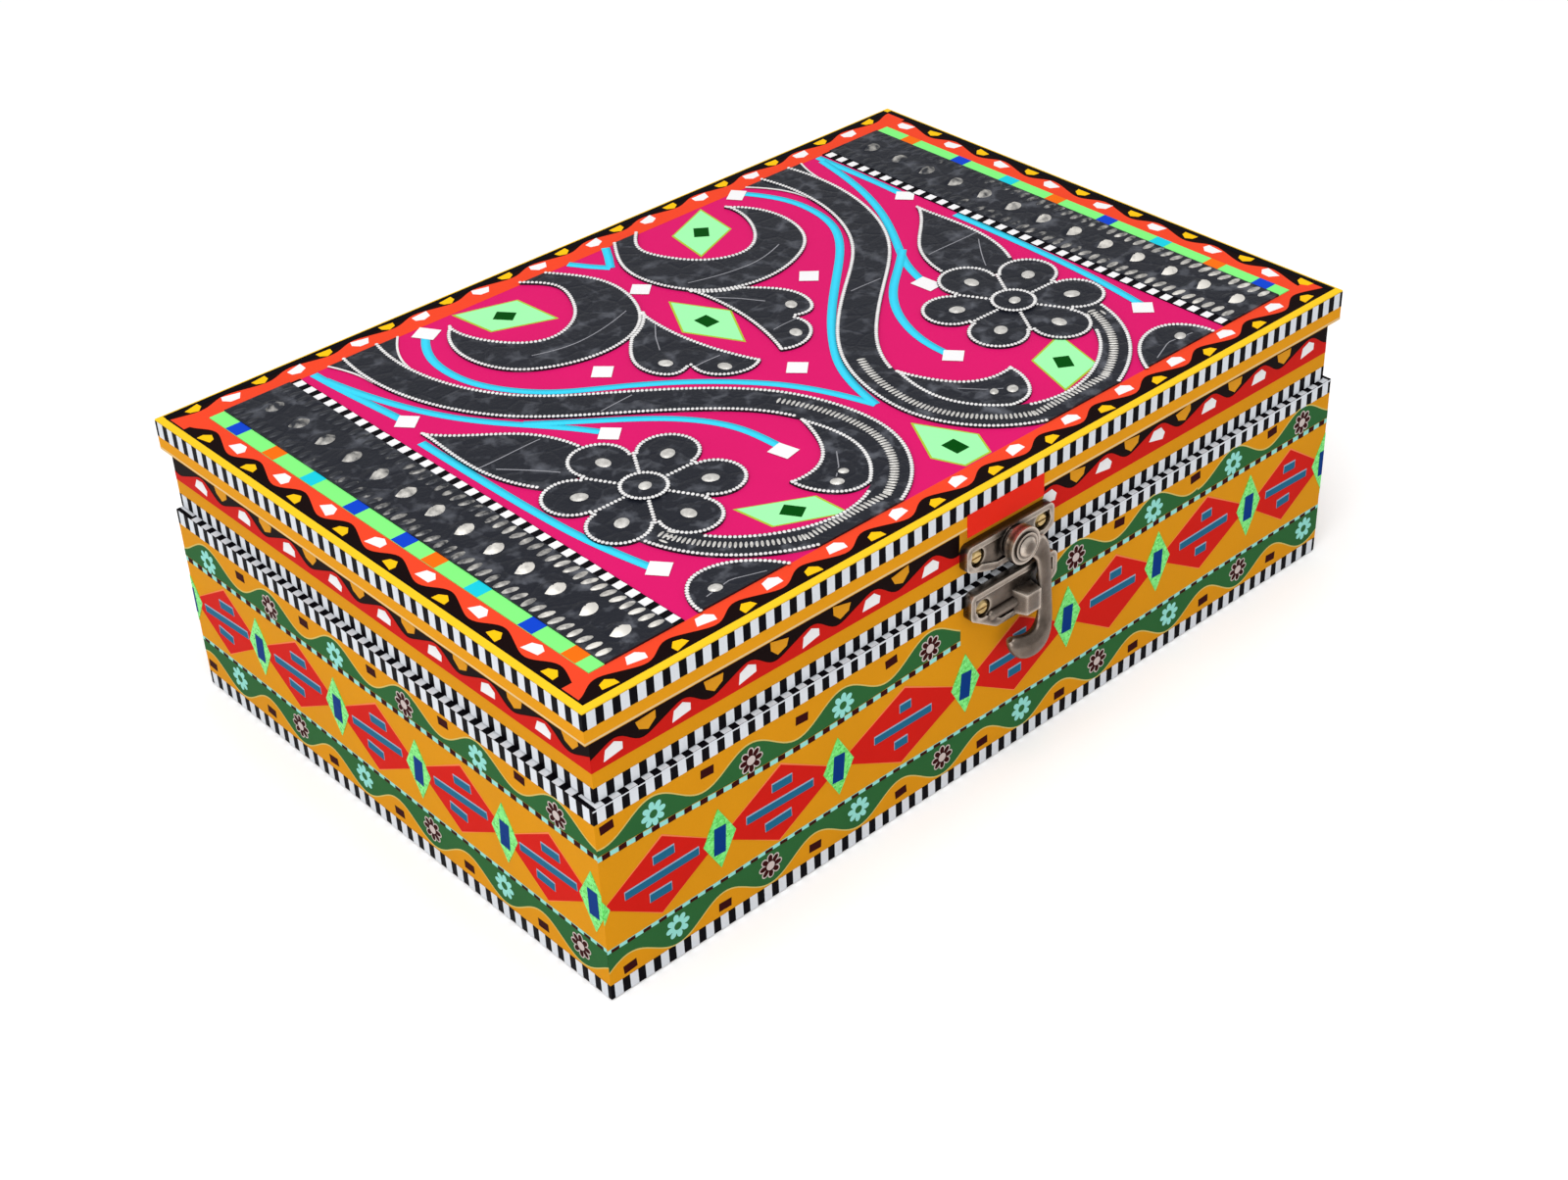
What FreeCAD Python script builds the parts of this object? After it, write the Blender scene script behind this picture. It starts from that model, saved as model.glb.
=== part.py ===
import FreeCAD
import Part
import Sketcher
import math
import os
from FreeCAD import Placement, Rotation, Vector

# Driving dimensions in millimetres. The origin is the centre of the underside,
# +X runs along the front to the right, +Y to the hinges at the back, +Z up.
SIZES = {
    # Boards of the base and of the lid.
    "box_length": 253.0,
    "box_depth": 168.0,
    "base_height": 55.0,
    "board": 8.0,
    "bottom_board": 4.0,
    "rebate": 4.0,
    "rebate_fit": 0.1,
    "lid_wall_height": 17.1,
    "lid_board": 8.6,
    "lid_overhang": 0.5,
    "lid_end_inset": 1.8,
    "lid_front_step": 1.4,
    "seam_gap": 0.3,
    # Films, foil and lining.
    "film": 0.3,
    "foil": 0.6,
    "lining": 1.0,
    "lining_drop": 1.0,
    "rim_fold": 6.0,
    "rim_stripe": 3.9,
    "upper_wave": 12.4,
    "lower_wave": 11.0,
    "foot_lift": 0.3,
    "foot_stripe": 4.2,
    "lid_stripe": 3.6,
    "lid_amber": 4.1,
    "edge_lift": 0.3,
    "edge_return": 2.2,
    "patch_x": -0.4,
    "patch_length": 26.0,
    "patch_rise": 4.4,
    "patch_hang": 1.8,
    "border_tape": 7.3,
    "chequer_strip": 4.3,
    "foil_band": 19.3,
    "dashed_strip": 3.0,
    "middle_gap": 5.0,
    "band_boss_radius": 3.1,
    "band_boss_flat": 1.3,
    "band_boss_height": 0.8,
    "band_boss_pitch": 11.3,
    "petal_reach": 24.8,
    "petal_radius": 8.1,
    "petal_count": 6,
    "flower_disc_radius": 6.2,
    "flower_disc_height": 0.5,
    "flower_inset": 28.0,
    "flower_forward": 27.8,
    "scroll_width": 11.0,
    "scroll_tip": 7.6,
    # Pins that hold the boards together.
    "pin_radius": 0.7,
    "pin_length": 22.0,
    "pin_fit": 0.02,
    "pin_edge": 12.0,
    "bottom_pin_length": 14.0,
    "panel_pin_inset": 30.0,
    # Screws of the latch and the hinges.
    "screw_radius": 1.0,
    "screw_length": 6.0,
    "screw_fit": 0.05,
    "screw_head_radius": 2.4,
    "screw_head_flat": 1.4,
    "screw_head_height": 0.9,
    "screw_slot": 0.5,
    # Latch plate on the lid, and catch plate on the base.
    "latch_x": 1.0,
    "plate_length": 30.0,
    "plate_thick": 2.6,
    "plate_end_height": 6.8,
    "plate_lobe": 7.0,
    "plate_rim": 1.6,
    "plate_recess": 0.5,
    "plate_corner": 1.8,
    "latch_plate_height": 9.8,
    "latch_plate_lift": 2.6,
    "latch_screw_spacing": 22.4,
    "latch_screw_drop": 4.1,
    "catch_plate_height": 12.5,
    "catch_plate_drop": 0.1,
    "catch_screw_spacing": 21.0,
    "catch_screw_drop": 5.2,
    "keeper_lift": 0.8,
    "keeper_width": 6.4,
    "keeper_height": 6.6,
    "keeper_proud": 3.0,
    "keeper_slope": 1.6,
    "keeper_rib_length": 7.5,
    "keeper_rib_radius": 1.5,
    # Swing hook and its rivet.
    "pivot_x": 1.8,
    "pivot_drop": 4.4,
    "boss_radius": 4.4,
    "boss_step": 0.6,
    "hook_clearance": 0.3,
    "hook_thick": 2.3,
    "eye_radius": 4.9,
    "eye_ring": 1.3,
    "eye_ring_height": 0.5,
    "rivet_radius": 1.6,
    "rivet_fit": 0.05,
    "rivet_head_radius": 2.9,
    "rivet_head_flat": 1.45,
    "rivet_head_height": 1.1,
    "arm_offset": 8.2,
    "arm_width": 4.5,
    "arm_relief": 0.15,
    "hook_drop": 29.4,
    "curl_radius": 6.4,
    "curl_width": 6.8,
    "curl_depth": 5.0,
    "curl_tip": 1.8,
    # Hinges on the back.
    "hinge_inset": 51.5,
    "hinge_length": 30.0,
    "leaf_height": 15.0,
    "leaf_thick": 1.0,
    "leaf_corner": 2.5,
    "knuckle_radius": 2.1,
    "knuckle_gap": 0.3,
    "hinge_standoff": 0.3,
    "hinge_pin_radius": 1.1,
    "hinge_pin_fit": 0.05,
    "hinge_screw_spacing": 18.0,
    "hinge_screw_reach": 10.5,
}

# Places worked out from the driving dimensions.
PLACES = {
    "half_length": "size.box_length / 2",
    "half_depth": "size.box_depth / 2",
    "inner_length": "half_length - size.board",
    "inner_depth": "half_depth - size.board",
    "rim_top": "size.base_height + size.film",
    "stripe_low": "size.base_height - size.rim_stripe",
    "wave_low": "stripe_low - size.upper_wave",
    "foot_top": "size.foot_lift + size.foot_stripe",
    "diamond_low": "foot_top + size.lower_wave",
    "lid_low": "rim_top + size.seam_gap + size.film",
    "lid_under": "lid_low + size.lid_wall_height",
    "lid_top": "lid_under + size.lid_board",
    "film_top": "lid_top + size.film",
    "lid_half_length": "half_length - size.lid_end_inset",
    "lid_front": "size.lid_front_step - half_depth",
    "panel_half_length": "half_length + size.lid_overhang",
    "panel_half_depth": "half_depth + size.lid_overhang",
    "lid_stripe_top": "lid_low + size.lid_stripe",
    "lid_amber_top": "lid_stripe_top + size.lid_amber",
    "return_length": "panel_half_length - size.edge_return",
    "return_depth": "panel_half_depth - size.edge_return",
    "field_length": "return_length - size.border_tape",
    "field_depth": "return_depth - size.border_tape",
    "chequer_in": "field_length - size.chequer_strip",
    "band_in": "chequer_in - size.foil_band",
    "window_length": "band_in - size.dashed_strip",
    "latch_face": "lid_front - size.film",
    "catch_face": "-half_depth - size.film",
    "catch_front": "catch_face - size.plate_thick",
    "hook_back": "catch_front - size.hook_clearance",
    "latch_plate_top": "lid_low + size.latch_plate_lift + size.latch_plate_height",
    "catch_plate_top": "rim_top - size.catch_plate_drop",
    "pivot_z": "latch_plate_top - size.pivot_drop",
    "latch_screw_z": "latch_plate_top - size.latch_screw_drop",
    "catch_screw_z": "catch_plate_top - size.catch_screw_drop",
    "hinge_y": "half_depth + size.film + size.hinge_standoff + size.knuckle_radius",
    "hinge_z": "rim_top + size.seam_gap / 2",
    "knuckle_half": "size.hinge_length / 6",
}

doc = FreeCAD.newDocument("storage_box")
nodes = []


def fill_sheet(name, cells):
    """A sheet whose second column holds one aliased cell for each entry."""
    sheet = doc.addObject("Spreadsheet::Sheet", name)
    for row, (alias, text) in enumerate(cells.items(), start=1):
        sheet.set(f"A{row}", alias)
        sheet.set(f"B{row}", text)
        sheet.setAlias(f"B{row}", alias)
    doc.recompute()
    return sheet


size = fill_sheet("size", {alias: str(number) for alias, number in SIZES.items()})
place = fill_sheet("place", {alias: "=" + text for alias, text in PLACES.items()})


def bind(thing, **formulas):
    """Bind properties of an object to formulas on the sheets."""
    for name, text in formulas.items():
        thing.setExpression(name, text)


def put(thing, x, y, z):
    """Bind the place of an object to formulas on the sheets."""
    for axis, text in zip("xyz", (x, y, z)):
        thing.setExpression(f"Placement.Base.{axis}", text)


def node(thing, label):
    """Name an object as one sub-part of the box."""
    thing.Label = label
    nodes.append(thing)
    return thing


def block(name, low, high):
    """A box between two corners, each given as three formulas."""
    box = doc.addObject("Part::Box", name)
    spans = [f"({b}) - ({a})" for a, b in zip(low, high)]
    bind(box, Length=spans[0], Width=spans[1], Height=spans[2])
    put(box, *low)
    return box


def frame_block(name, half_x, half_y, low, high):
    """A box centred on the vertical axis of the part."""
    return block(name, (f"-({half_x})", f"-({half_y})", low), (half_x, half_y, high))


def rod(name, radius, length, start, direction):
    """A cylinder that runs from its start along a direction."""
    cylinder = doc.addObject("Part::Cylinder", name)
    cylinder.Placement.Rotation = Rotation(Vector(0, 0, 1), direction)
    bind(cylinder, Radius=radius, Height=length)
    put(cylinder, *start)
    return cylinder


def group(name, things):
    """Several solids kept side by side in one object."""
    compound = doc.addObject("Part::Compound", name)
    compound.Links = things
    return compound


def fuse(name, things):
    """One solid from several that touch or overlap."""
    fusion = doc.addObject("Part::MultiFuse", name)
    fusion.Shapes = things
    return fusion


def cut(name, base, tools):
    """A base with the space of all the tools taken out of it."""
    result = doc.addObject("Part::Cut", name)
    result.Base = base
    result.Tool = tools[0] if len(tools) == 1 else group(name + "_tools", tools)
    return result


def drilled(label, base, holes):
    """A sub-part with its holes, where it has any."""
    return node(cut(label, base, holes) if holes else base, label)


FRONT = Vector(0, -1, 0)
BACK = Vector(0, 1, 0)
UP = Vector(0, 0, 1)
DOWN = Vector(0, 0, -1)


# Pins: plain wires driven flush into holes of the boards. Each entry is a start
# on the outer face and the way the pin runs in.
def pin_pair(name, start, direction, length):
    pin = rod(name, "size.pin_radius", length, start, direction)
    hole = rod(name + "_hole", "size.pin_radius + size.pin_fit", length, start, direction)
    return pin, hole


def corner_pins(name, half_x, front, back, heights):
    """Pins that run through the front and back walls into the end walls."""
    pairs = []
    for index, height in enumerate(heights):
        for side, sign in (("left", "-"), ("right", "")):
            x = f"{sign}({half_x} - size.board / 2)"
            for face, y, way in (("front", front, BACK), ("back", back, FRONT)):
                label = f"{name}_{face}_{side}_{index}"
                pairs.append(pin_pair(label, (x, y, height), way, "size.pin_length"))
    return [pair[0] for pair in pairs], [pair[1] for pair in pairs]


# Screws: a shallow cone head with a slot, on a plain shank. Heads face out of
# the wall, and the hole lets the shank pass through plate, film and board.
def screw(name, x, seat, z, outward):
    sign = "-" if outward == FRONT else "+"
    inward = BACK if outward == FRONT else FRONT
    head = doc.addObject("Part::Cone", name + "_head")
    head.Placement.Rotation = Rotation(UP, outward)
    bind(head, Radius1="size.screw_head_radius", Radius2="size.screw_head_flat")
    bind(head, Height="size.screw_head_height")
    put(head, x, seat, z)
    shank = rod(name + "_shank", "size.screw_radius", "size.screw_length", (x, seat, z), inward)
    whole = fuse(name + "_whole", [head, shank])
    top = f"{seat} {sign} size.screw_head_height"
    floor = f"{seat} {sign} size.screw_head_height / 2"
    y_low, y_high = (top, floor) if outward == FRONT else (floor, top)
    low = (f"{x} - size.screw_head_radius", y_low, f"{z} - size.screw_slot / 2")
    high = (f"{x} + size.screw_head_radius", y_high, f"{z} + size.screw_slot / 2")
    return cut(name, whole, [block(name + "_slot", low, high)])


def screw_hole(name, x, seat, z, outward):
    inward = BACK if outward == FRONT else FRONT
    radius = "size.screw_radius + size.screw_fit"
    return rod(name, radius, "size.screw_length + size.screw_fit", (x, seat, z), inward)


HINGE_SIDES = {
    "left": "size.hinge_inset - place.half_length",
    "right": "place.half_length - size.hinge_inset",
}
LEAF_FACE = "place.half_depth + size.film + size.leaf_thick"


def hinge_screw_spots(level):
    spots = []
    for side, x in HINGE_SIDES.items():
        for end, sign in (("outer", "-"), ("inner", "+")):
            spots.append((f"{side}_{end}", f"{x} {sign} size.hinge_screw_spacing / 2", level))
    return spots


def latch_screw_spots(spacing, level):
    return [
        ("left", f"size.latch_x - {spacing} / 2", level),
        ("right", f"size.latch_x + {spacing} / 2", level),
    ]


# Where each set of screws sits: its spots, the face under the heads, the way out.
SCREW_SETS = {
    "catch": (
        latch_screw_spots("size.catch_screw_spacing", "place.catch_screw_z"),
        "place.catch_front + size.plate_recess + size.screw_head_height",
        FRONT,
    ),
    "latch": (
        latch_screw_spots("size.latch_screw_spacing", "place.latch_screw_z"),
        "place.latch_face - size.plate_thick + size.plate_recess + size.screw_head_height",
        FRONT,
    ),
    "base_hinge": (
        hinge_screw_spots("place.hinge_z - size.hinge_screw_reach"),
        LEAF_FACE,
        BACK,
    ),
    "lid_hinge": (
        hinge_screw_spots("place.hinge_z + size.hinge_screw_reach"),
        LEAF_FACE,
        BACK,
    ),
}


def screw_holes(kind):
    spots, seat, outward = SCREW_SETS[kind]
    return [screw_hole(f"{kind}_hole_{name}", x, seat, z, outward) for name, x, z in spots]


def screw_seats(kind):
    """Countersinks for heads that lie inside a plate."""
    spots, seat, outward = SCREW_SETS[kind]
    seats = []
    for name, x, z in spots:
        radius = "size.screw_head_radius + size.screw_fit"
        seats.append(rod(f"{kind}_seat_{name}", radius, "size.plate_thick", (x, seat, z), outward))
    return seats


for kind, (spots, seat, outward) in SCREW_SETS.items():
    screws = [screw(f"{kind}_screw_{name}", x, seat, z, outward) for name, x, z in spots]
    node(group(f"{kind}_screws", screws), f"{kind}_screws")


# Base: front and back walls run the full length, the end walls stand between
# them, and the bottom panel lies in a rebate of all four.
BASE_PIN_LEVELS = ("size.pin_edge", "size.base_height - size.pin_edge")
base_pins, base_pin_holes = corner_pins(
    "base_pin", "place.half_length", "-place.half_depth", "place.half_depth", BASE_PIN_LEVELS
)
node(group("base_corner_pins", base_pins), "base_corner_pins")

PANEL_X = "place.inner_length + size.rebate"
PANEL_Y = "place.inner_depth + size.rebate"
bottom_spots = {
    "front_left": ("size.panel_pin_inset - place.half_length", "size.rebate / 2 - (" + PANEL_Y + ")"),
    "front_right": ("place.half_length - size.panel_pin_inset", "size.rebate / 2 - (" + PANEL_Y + ")"),
    "back_left": ("size.panel_pin_inset - place.half_length", PANEL_Y + " - size.rebate / 2"),
    "back_right": ("place.half_length - size.panel_pin_inset", PANEL_Y + " - size.rebate / 2"),
    "left": ("size.rebate / 2 - (" + PANEL_X + ")", "0"),
    "right": (PANEL_X + " - size.rebate / 2", "0"),
}
bottom_pins = []
bottom_holes = []
for spot, (x, y) in bottom_spots.items():
    pin, hole = pin_pair("bottom_pin_" + spot, (x, y, "0"), UP, "size.bottom_pin_length")
    bottom_pins.append(pin)
    bottom_holes.append(hole)
node(group("bottom_panel_pins", bottom_pins), "bottom_panel_pins")

bottom_space = frame_block(
    "bottom_space",
    PANEL_X + " + size.rebate_fit",
    PANEL_Y + " + size.rebate_fit",
    "0",
    "size.bottom_board",
)
bottom = frame_block("bottom", PANEL_X, PANEL_Y, "0", "size.bottom_board")
drilled("base_bottom_panel", bottom, bottom_holes)

base_front = block(
    "base_front",
    ("-place.half_length", "-place.half_depth", "0"),
    ("place.half_length", "-place.inner_depth", "size.base_height"),
)
base_back = block(
    "base_back",
    ("-place.half_length", "place.inner_depth", "0"),
    ("place.half_length", "place.half_depth", "size.base_height"),
)
base_left = block(
    "base_left",
    ("-place.half_length", "-place.inner_depth", "0"),
    ("-place.inner_length", "place.inner_depth", "size.base_height"),
)
base_right = block(
    "base_right",
    ("place.inner_length", "-place.inner_depth", "0"),
    ("place.half_length", "place.inner_depth", "size.base_height"),
)
base_holes = base_pin_holes + bottom_holes + [bottom_space]
drilled("base_front_wall", base_front, base_holes + screw_holes("catch"))
drilled("base_back_wall", base_back, base_holes + screw_holes("base_hinge"))
drilled("base_left_wall", base_left, base_holes)
drilled("base_right_wall", base_right, base_holes)


# Lid: four low walls under a panel that stands a little proud of them. The walls
# are flush with the base at the back and leave a narrow ledge at the front.
LID_LEVEL = "place.lid_low + size.lid_wall_height / 2"
lid_pins, lid_pin_holes = corner_pins(
    "lid_pin", "place.lid_half_length", "place.lid_front", "place.half_depth", (LID_LEVEL,)
)
node(group("lid_corner_pins", lid_pins), "lid_corner_pins")

lid_spots = {
    "front": "place.lid_front + size.board / 2",
    "back": "place.half_depth - size.board / 2",
}
panel_pins = []
panel_holes = []
for spot, y in lid_spots.items():
    for side, sign in (("left", "-"), ("right", "")):
        x = f"{sign}(place.lid_half_length - size.panel_pin_inset)"
        start = (x, y, "place.lid_top")
        pin, hole = pin_pair(f"panel_pin_{spot}_{side}", start, DOWN, "size.pin_length")
        panel_pins.append(pin)
        panel_holes.append(hole)
node(group("lid_panel_pins", panel_pins), "lid_panel_pins")

panel = frame_block(
    "panel", "place.panel_half_length", "place.panel_half_depth", "place.lid_under", "place.lid_top"
)
drilled("lid_top_panel", panel, panel_holes)

LID_IN_X = "(place.lid_half_length - size.board)"
LID_IN_FRONT = "(place.lid_front + size.board)"
lid_front_board = block(
    "lid_front_board",
    ("-place.lid_half_length", "place.lid_front", "place.lid_low"),
    ("place.lid_half_length", LID_IN_FRONT, "place.lid_under"),
)
lid_back_board = block(
    "lid_back_board",
    ("-place.lid_half_length", "place.inner_depth", "place.lid_low"),
    ("place.lid_half_length", "place.half_depth", "place.lid_under"),
)
lid_left_board = block(
    "lid_left_board",
    ("-place.lid_half_length", LID_IN_FRONT, "place.lid_low"),
    (f"-{LID_IN_X}", "place.inner_depth", "place.lid_under"),
)
lid_right_board = block(
    "lid_right_board",
    (LID_IN_X, LID_IN_FRONT, "place.lid_low"),
    ("place.lid_half_length", "place.inner_depth", "place.lid_under"),
)
lid_holes = lid_pin_holes + panel_holes
drilled("lid_front_wall", lid_front_board, lid_holes + screw_holes("latch"))
drilled("lid_back_wall", lid_back_board, lid_holes + screw_holes("lid_hinge"))
drilled("lid_left_wall", lid_left_board, lid_holes)
drilled("lid_right_wall", lid_right_board, lid_holes)


# Felt lining: a sheet on the floor, four strips on the walls, and the same inside
# the lid.
FLOOR_TOP = "size.bottom_board + size.lining"
floor_lining = frame_block(
    "floor_lining", "place.inner_length", "place.inner_depth", "size.bottom_board", FLOOR_TOP
)
node(floor_lining, "base_floor_lining")


def wall_strips(name, half_x, front, back, low, high):
    """Four strips inside a rectangle: long ones at front and back, short between."""
    thick = "size.lining"
    return [
        block(name + "_front", (f"-{half_x}", front, low), (half_x, f"{front} + {thick}", high)),
        block(name + "_back", (f"-{half_x}", f"{back} - {thick}", low), (half_x, back, high)),
        block(
            name + "_left",
            (f"-{half_x}", f"{front} + {thick}", low),
            (f"-{half_x} + {thick}", f"{back} - {thick}", high),
        ),
        block(
            name + "_right",
            (f"{half_x} - {thick}", f"{front} + {thick}", low),
            (half_x, f"{back} - {thick}", high),
        ),
    ]


base_strips = wall_strips(
    "base_strip",
    "place.inner_length",
    "-place.inner_depth",
    "place.inner_depth",
    FLOOR_TOP,
    "size.base_height - size.lining_drop",
)
node(group("base_wall_lining", base_strips), "base_wall_lining")

LID_LINING_LOW = "place.lid_under - size.lining"
lid_sheet = block(
    "lid_sheet",
    (f"-{LID_IN_X}", LID_IN_FRONT, LID_LINING_LOW),
    (LID_IN_X, "place.inner_depth", "place.lid_under"),
)
node(lid_sheet, "lid_panel_lining")
lid_strips = wall_strips(
    "lid_strip",
    LID_IN_X,
    LID_IN_FRONT,
    "place.inner_depth",
    "place.lid_low + size.lining_drop",
    LID_LINING_LOW,
)
node(group("lid_wall_lining", lid_strips), "lid_wall_lining")


# Film bands round the base walls, from the foot to the rim.
def base_band(label, low, high, holes):
    outer = frame_block(
        label + "_outer", "place.half_length + size.film", "place.half_depth + size.film", low, high
    )
    inner = frame_block(label + "_inner", "place.half_length", "place.half_depth", low, high)
    return node(cut(label, outer, [inner] + holes), label)


base_band("base_foot_stripe_tape", "size.foot_lift", "place.foot_top", [])
base_band("base_lower_wave_tape", "place.foot_top", "place.diamond_low", [])
base_band("base_diamond_tape", "place.diamond_low", "place.wave_low", [])
base_band(
    "base_upper_wave_tape",
    "place.wave_low",
    "place.stripe_low",
    screw_holes("catch") + screw_holes("base_hinge"),
)

# The stripe tape at the rim is folded over the top edge of the walls.
rim_outer = frame_block(
    "rim_outer",
    "place.half_length + size.film",
    "place.half_depth + size.film",
    "place.stripe_low",
    "place.rim_top",
)
rim_walls = frame_block(
    "rim_walls", "place.half_length", "place.half_depth", "place.stripe_low", "size.base_height"
)
rim_mouth = frame_block(
    "rim_mouth",
    "place.half_length - size.rim_fold",
    "place.half_depth - size.rim_fold",
    "place.stripe_low",
    "place.rim_top",
)
rim_space = fuse("rim_space", [rim_walls, rim_mouth])
node(cut("rim_tape", rim_outer, [rim_space] + screw_holes("catch")), "base_rim_stripe_tape")


# Film bands round the lid walls. The lowest is folded under their edge.
def lid_block(name, grow, low, high):
    return block(
        name,
        (f"-place.lid_half_length - ({grow})", f"place.lid_front - ({grow})", low),
        (f"place.lid_half_length + ({grow})", f"place.half_depth + ({grow})", high),
    )


def lid_band(label, low, high, holes):
    outer = lid_block(label + "_outer", "size.film", low, high)
    inner = lid_block(label + "_inner", "0", low, high)
    return node(cut(label, outer, [inner] + holes), label)


lid_band("lid_amber_band", "place.lid_stripe_top", "place.lid_amber_top", screw_holes("latch"))
lid_band(
    "lid_wave_tape",
    "place.lid_amber_top",
    "place.lid_under",
    screw_holes("latch") + screw_holes("lid_hinge"),
)

LID_FOLD_LOW = "place.lid_low - size.film"
fold_outer = lid_block("fold_outer", "size.film", LID_FOLD_LOW, "place.lid_stripe_top")
fold_walls = lid_block("fold_walls", "0", "place.lid_low", "place.lid_stripe_top")
fold_mouth = lid_block("fold_mouth", "-size.rim_fold", LID_FOLD_LOW, "place.lid_stripe_top")
fold_space = fuse("fold_space", [fold_walls, fold_mouth])
node(cut("fold_tape", fold_outer, [fold_space]), "lid_rim_stripe_tape")

# Edge tape of the lid panel, folded on to its top.
EDGE_LOW = "place.lid_under + size.edge_lift"
edge_outer = frame_block(
    "edge_outer",
    "place.panel_half_length + size.film",
    "place.panel_half_depth + size.film",
    EDGE_LOW,
    "place.film_top",
)
edge_panel = frame_block(
    "edge_panel", "place.panel_half_length", "place.panel_half_depth", EDGE_LOW, "place.lid_top"
)
edge_mouth = frame_block(
    "edge_mouth", "place.return_length", "place.return_depth", EDGE_LOW, "place.film_top"
)
edge_space = fuse("edge_space", [edge_panel, edge_mouth])
node(cut("edge_tape", edge_outer, [edge_space]), "lid_edge_tape")

# Border tape and field film on the top, side by side.
border_outer = frame_block(
    "border_outer", "place.return_length", "place.return_depth", "place.lid_top", "place.film_top"
)
border_inner = frame_block(
    "border_inner", "place.field_length", "place.field_depth", "place.lid_top", "place.film_top"
)
node(cut("border", border_outer, [border_inner]), "lid_border_tape")
field = frame_block(
    "field", "place.field_length", "place.field_depth", "place.lid_top", "place.film_top"
)
node(field, "lid_field_film")


# Strips across both ends of the field: chequers, an embossed foil band with a row
# of bosses, and a dashed strip.
def end_strip(side, kind, outer, inner, top):
    name = f"{side}_{kind}"
    if side == "left":
        low, high = f"-{outer}", f"-{inner}"
    else:
        low, high = inner, outer
    depth = "place.field_depth"
    return block(name, (low, f"-{depth}", "place.film_top"), (high, depth, top))


STRIP_TOP = "place.film_top + size.film"
FOIL_TOP = "place.film_top + size.foil"
for side, sign in (("left", "-"), ("right", "")):
    chequer = end_strip(side, "chequers", "place.field_length", "place.chequer_in", STRIP_TOP)
    node(chequer, f"{side}_chequer_strip")
    band = end_strip(side, "band", "place.chequer_in", "place.band_in", FOIL_TOP)
    middle = f"{sign}(place.chequer_in + place.band_in) / 2"
    reach = place.get("field_depth") - SIZES["band_boss_radius"]
    steps = int(reach / SIZES["band_boss_pitch"])
    bosses = []
    for step in range(-steps, steps + 1):
        boss = doc.addObject("Part::Cone", f"{side}_boss_{step + steps}")
        bind(boss, Radius1="size.band_boss_radius", Radius2="size.band_boss_flat")
        bind(boss, Height="size.band_boss_height")
        put(boss, middle, f"{step} * size.band_boss_pitch", FOIL_TOP)
        bosses.append(boss)
    node(fuse(f"{side}_embossed", [band] + bosses), f"{side}_foil_band")
    dashed = end_strip(side, "dashes", "place.band_in", "place.window_length", STRIP_TOP)
    node(dashed, f"{side}_dashed_strip")


# The most that an edge may lean from an axis that it is said to run along.
SQUARE = 0.01


# Sketches: closed outlines of straight lines, each corner held by two formulas.
def outline(body, name, role, corners):
    sketch = body.newObject("Sketcher::SketchObject", name)
    plane = [item for item in body.Origin.OriginFeatures if item.Role == role][0]
    sketch.AttachmentSupport = [(plane, "")]
    sketch.MapMode = "FlatFace"
    count = len(corners)
    points = [Vector(size.evalExpression(x), size.evalExpression(y), 0) for x, y in corners]
    for index in range(count):
        sketch.addGeometry(Part.LineSegment(points[index], points[(index + 1) % count]), False)
    for index in range(count):
        joint = Sketcher.Constraint("Coincident", index, 2, (index + 1) % count, 1)
        sketch.addConstraint(joint)
    for index, corner in enumerate(corners):
        for kind, text, number in zip(("DistanceX", "DistanceY"), corner, points[index]):
            held = sketch.addConstraint(Sketcher.Constraint(kind, -1, 1, index, 1, number))
            sketch.setExpression(f"Constraints[{held}]", text)
    return sketch


def pad(body, sketch, length):
    feature = body.newObject("PartDesign::Pad", sketch.Name + "_pad")
    feature.Profile = sketch
    feature.setExpression("Length", length)
    doc.recompute()
    return feature


def edges_along(shape, axis):
    """Numbers of the straight edges that run along an axis."""
    numbers = []
    for index, edge in enumerate(shape.Edges, start=1):
        if edge.tangentAt(edge.FirstParameter).cross(axis).Length < SQUARE:
            numbers.append(index)
    return numbers


# Latch plate and catch plate: the same cast shield, straight along the top, with a
# lobe in the middle of its lower edge and a shallow recess inside a raised rim.
def shield(name, height, lobe_x):
    body = doc.addObject("PartDesign::Body", name)

    def corners(inset):
        half = f"size.plate_length / 2 - {inset}"
        end = f"{inset} - size.plate_end_height"
        low = f"{inset} - {height}"
        lobe = f"size.plate_lobe - {inset}"
        return [
            (f"-({half})", f"-{inset}"),
            (f"-({half})", end),
            (f"{lobe_x} - ({lobe})", low),
            (f"{lobe_x} + ({lobe})", low),
            (half, end),
            (half, f"-{inset}"),
        ]

    face = outline(body, name + "_face", "XZ_Plane", corners("0"))
    slab = pad(body, face, "size.plate_thick")
    rounding = body.newObject("PartDesign::Fillet", name + "_corners")
    rounding.Base = (slab, [f"Edge{index}" for index in edges_along(slab.Shape, BACK)])
    rounding.setExpression("Radius", "size.plate_corner")
    doc.recompute()
    inside = outline(body, name + "_inside", "XZ_Plane", corners("size.plate_rim"))
    inside.setExpression(".AttachmentOffset.Base.z", "size.plate_thick - size.plate_recess")
    recess = body.newObject("PartDesign::Pocket", name + "_recess")
    recess.Profile = inside
    recess.Reversed = True
    recess.setExpression("Length", "size.plate_recess")
    doc.recompute()
    return body


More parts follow.
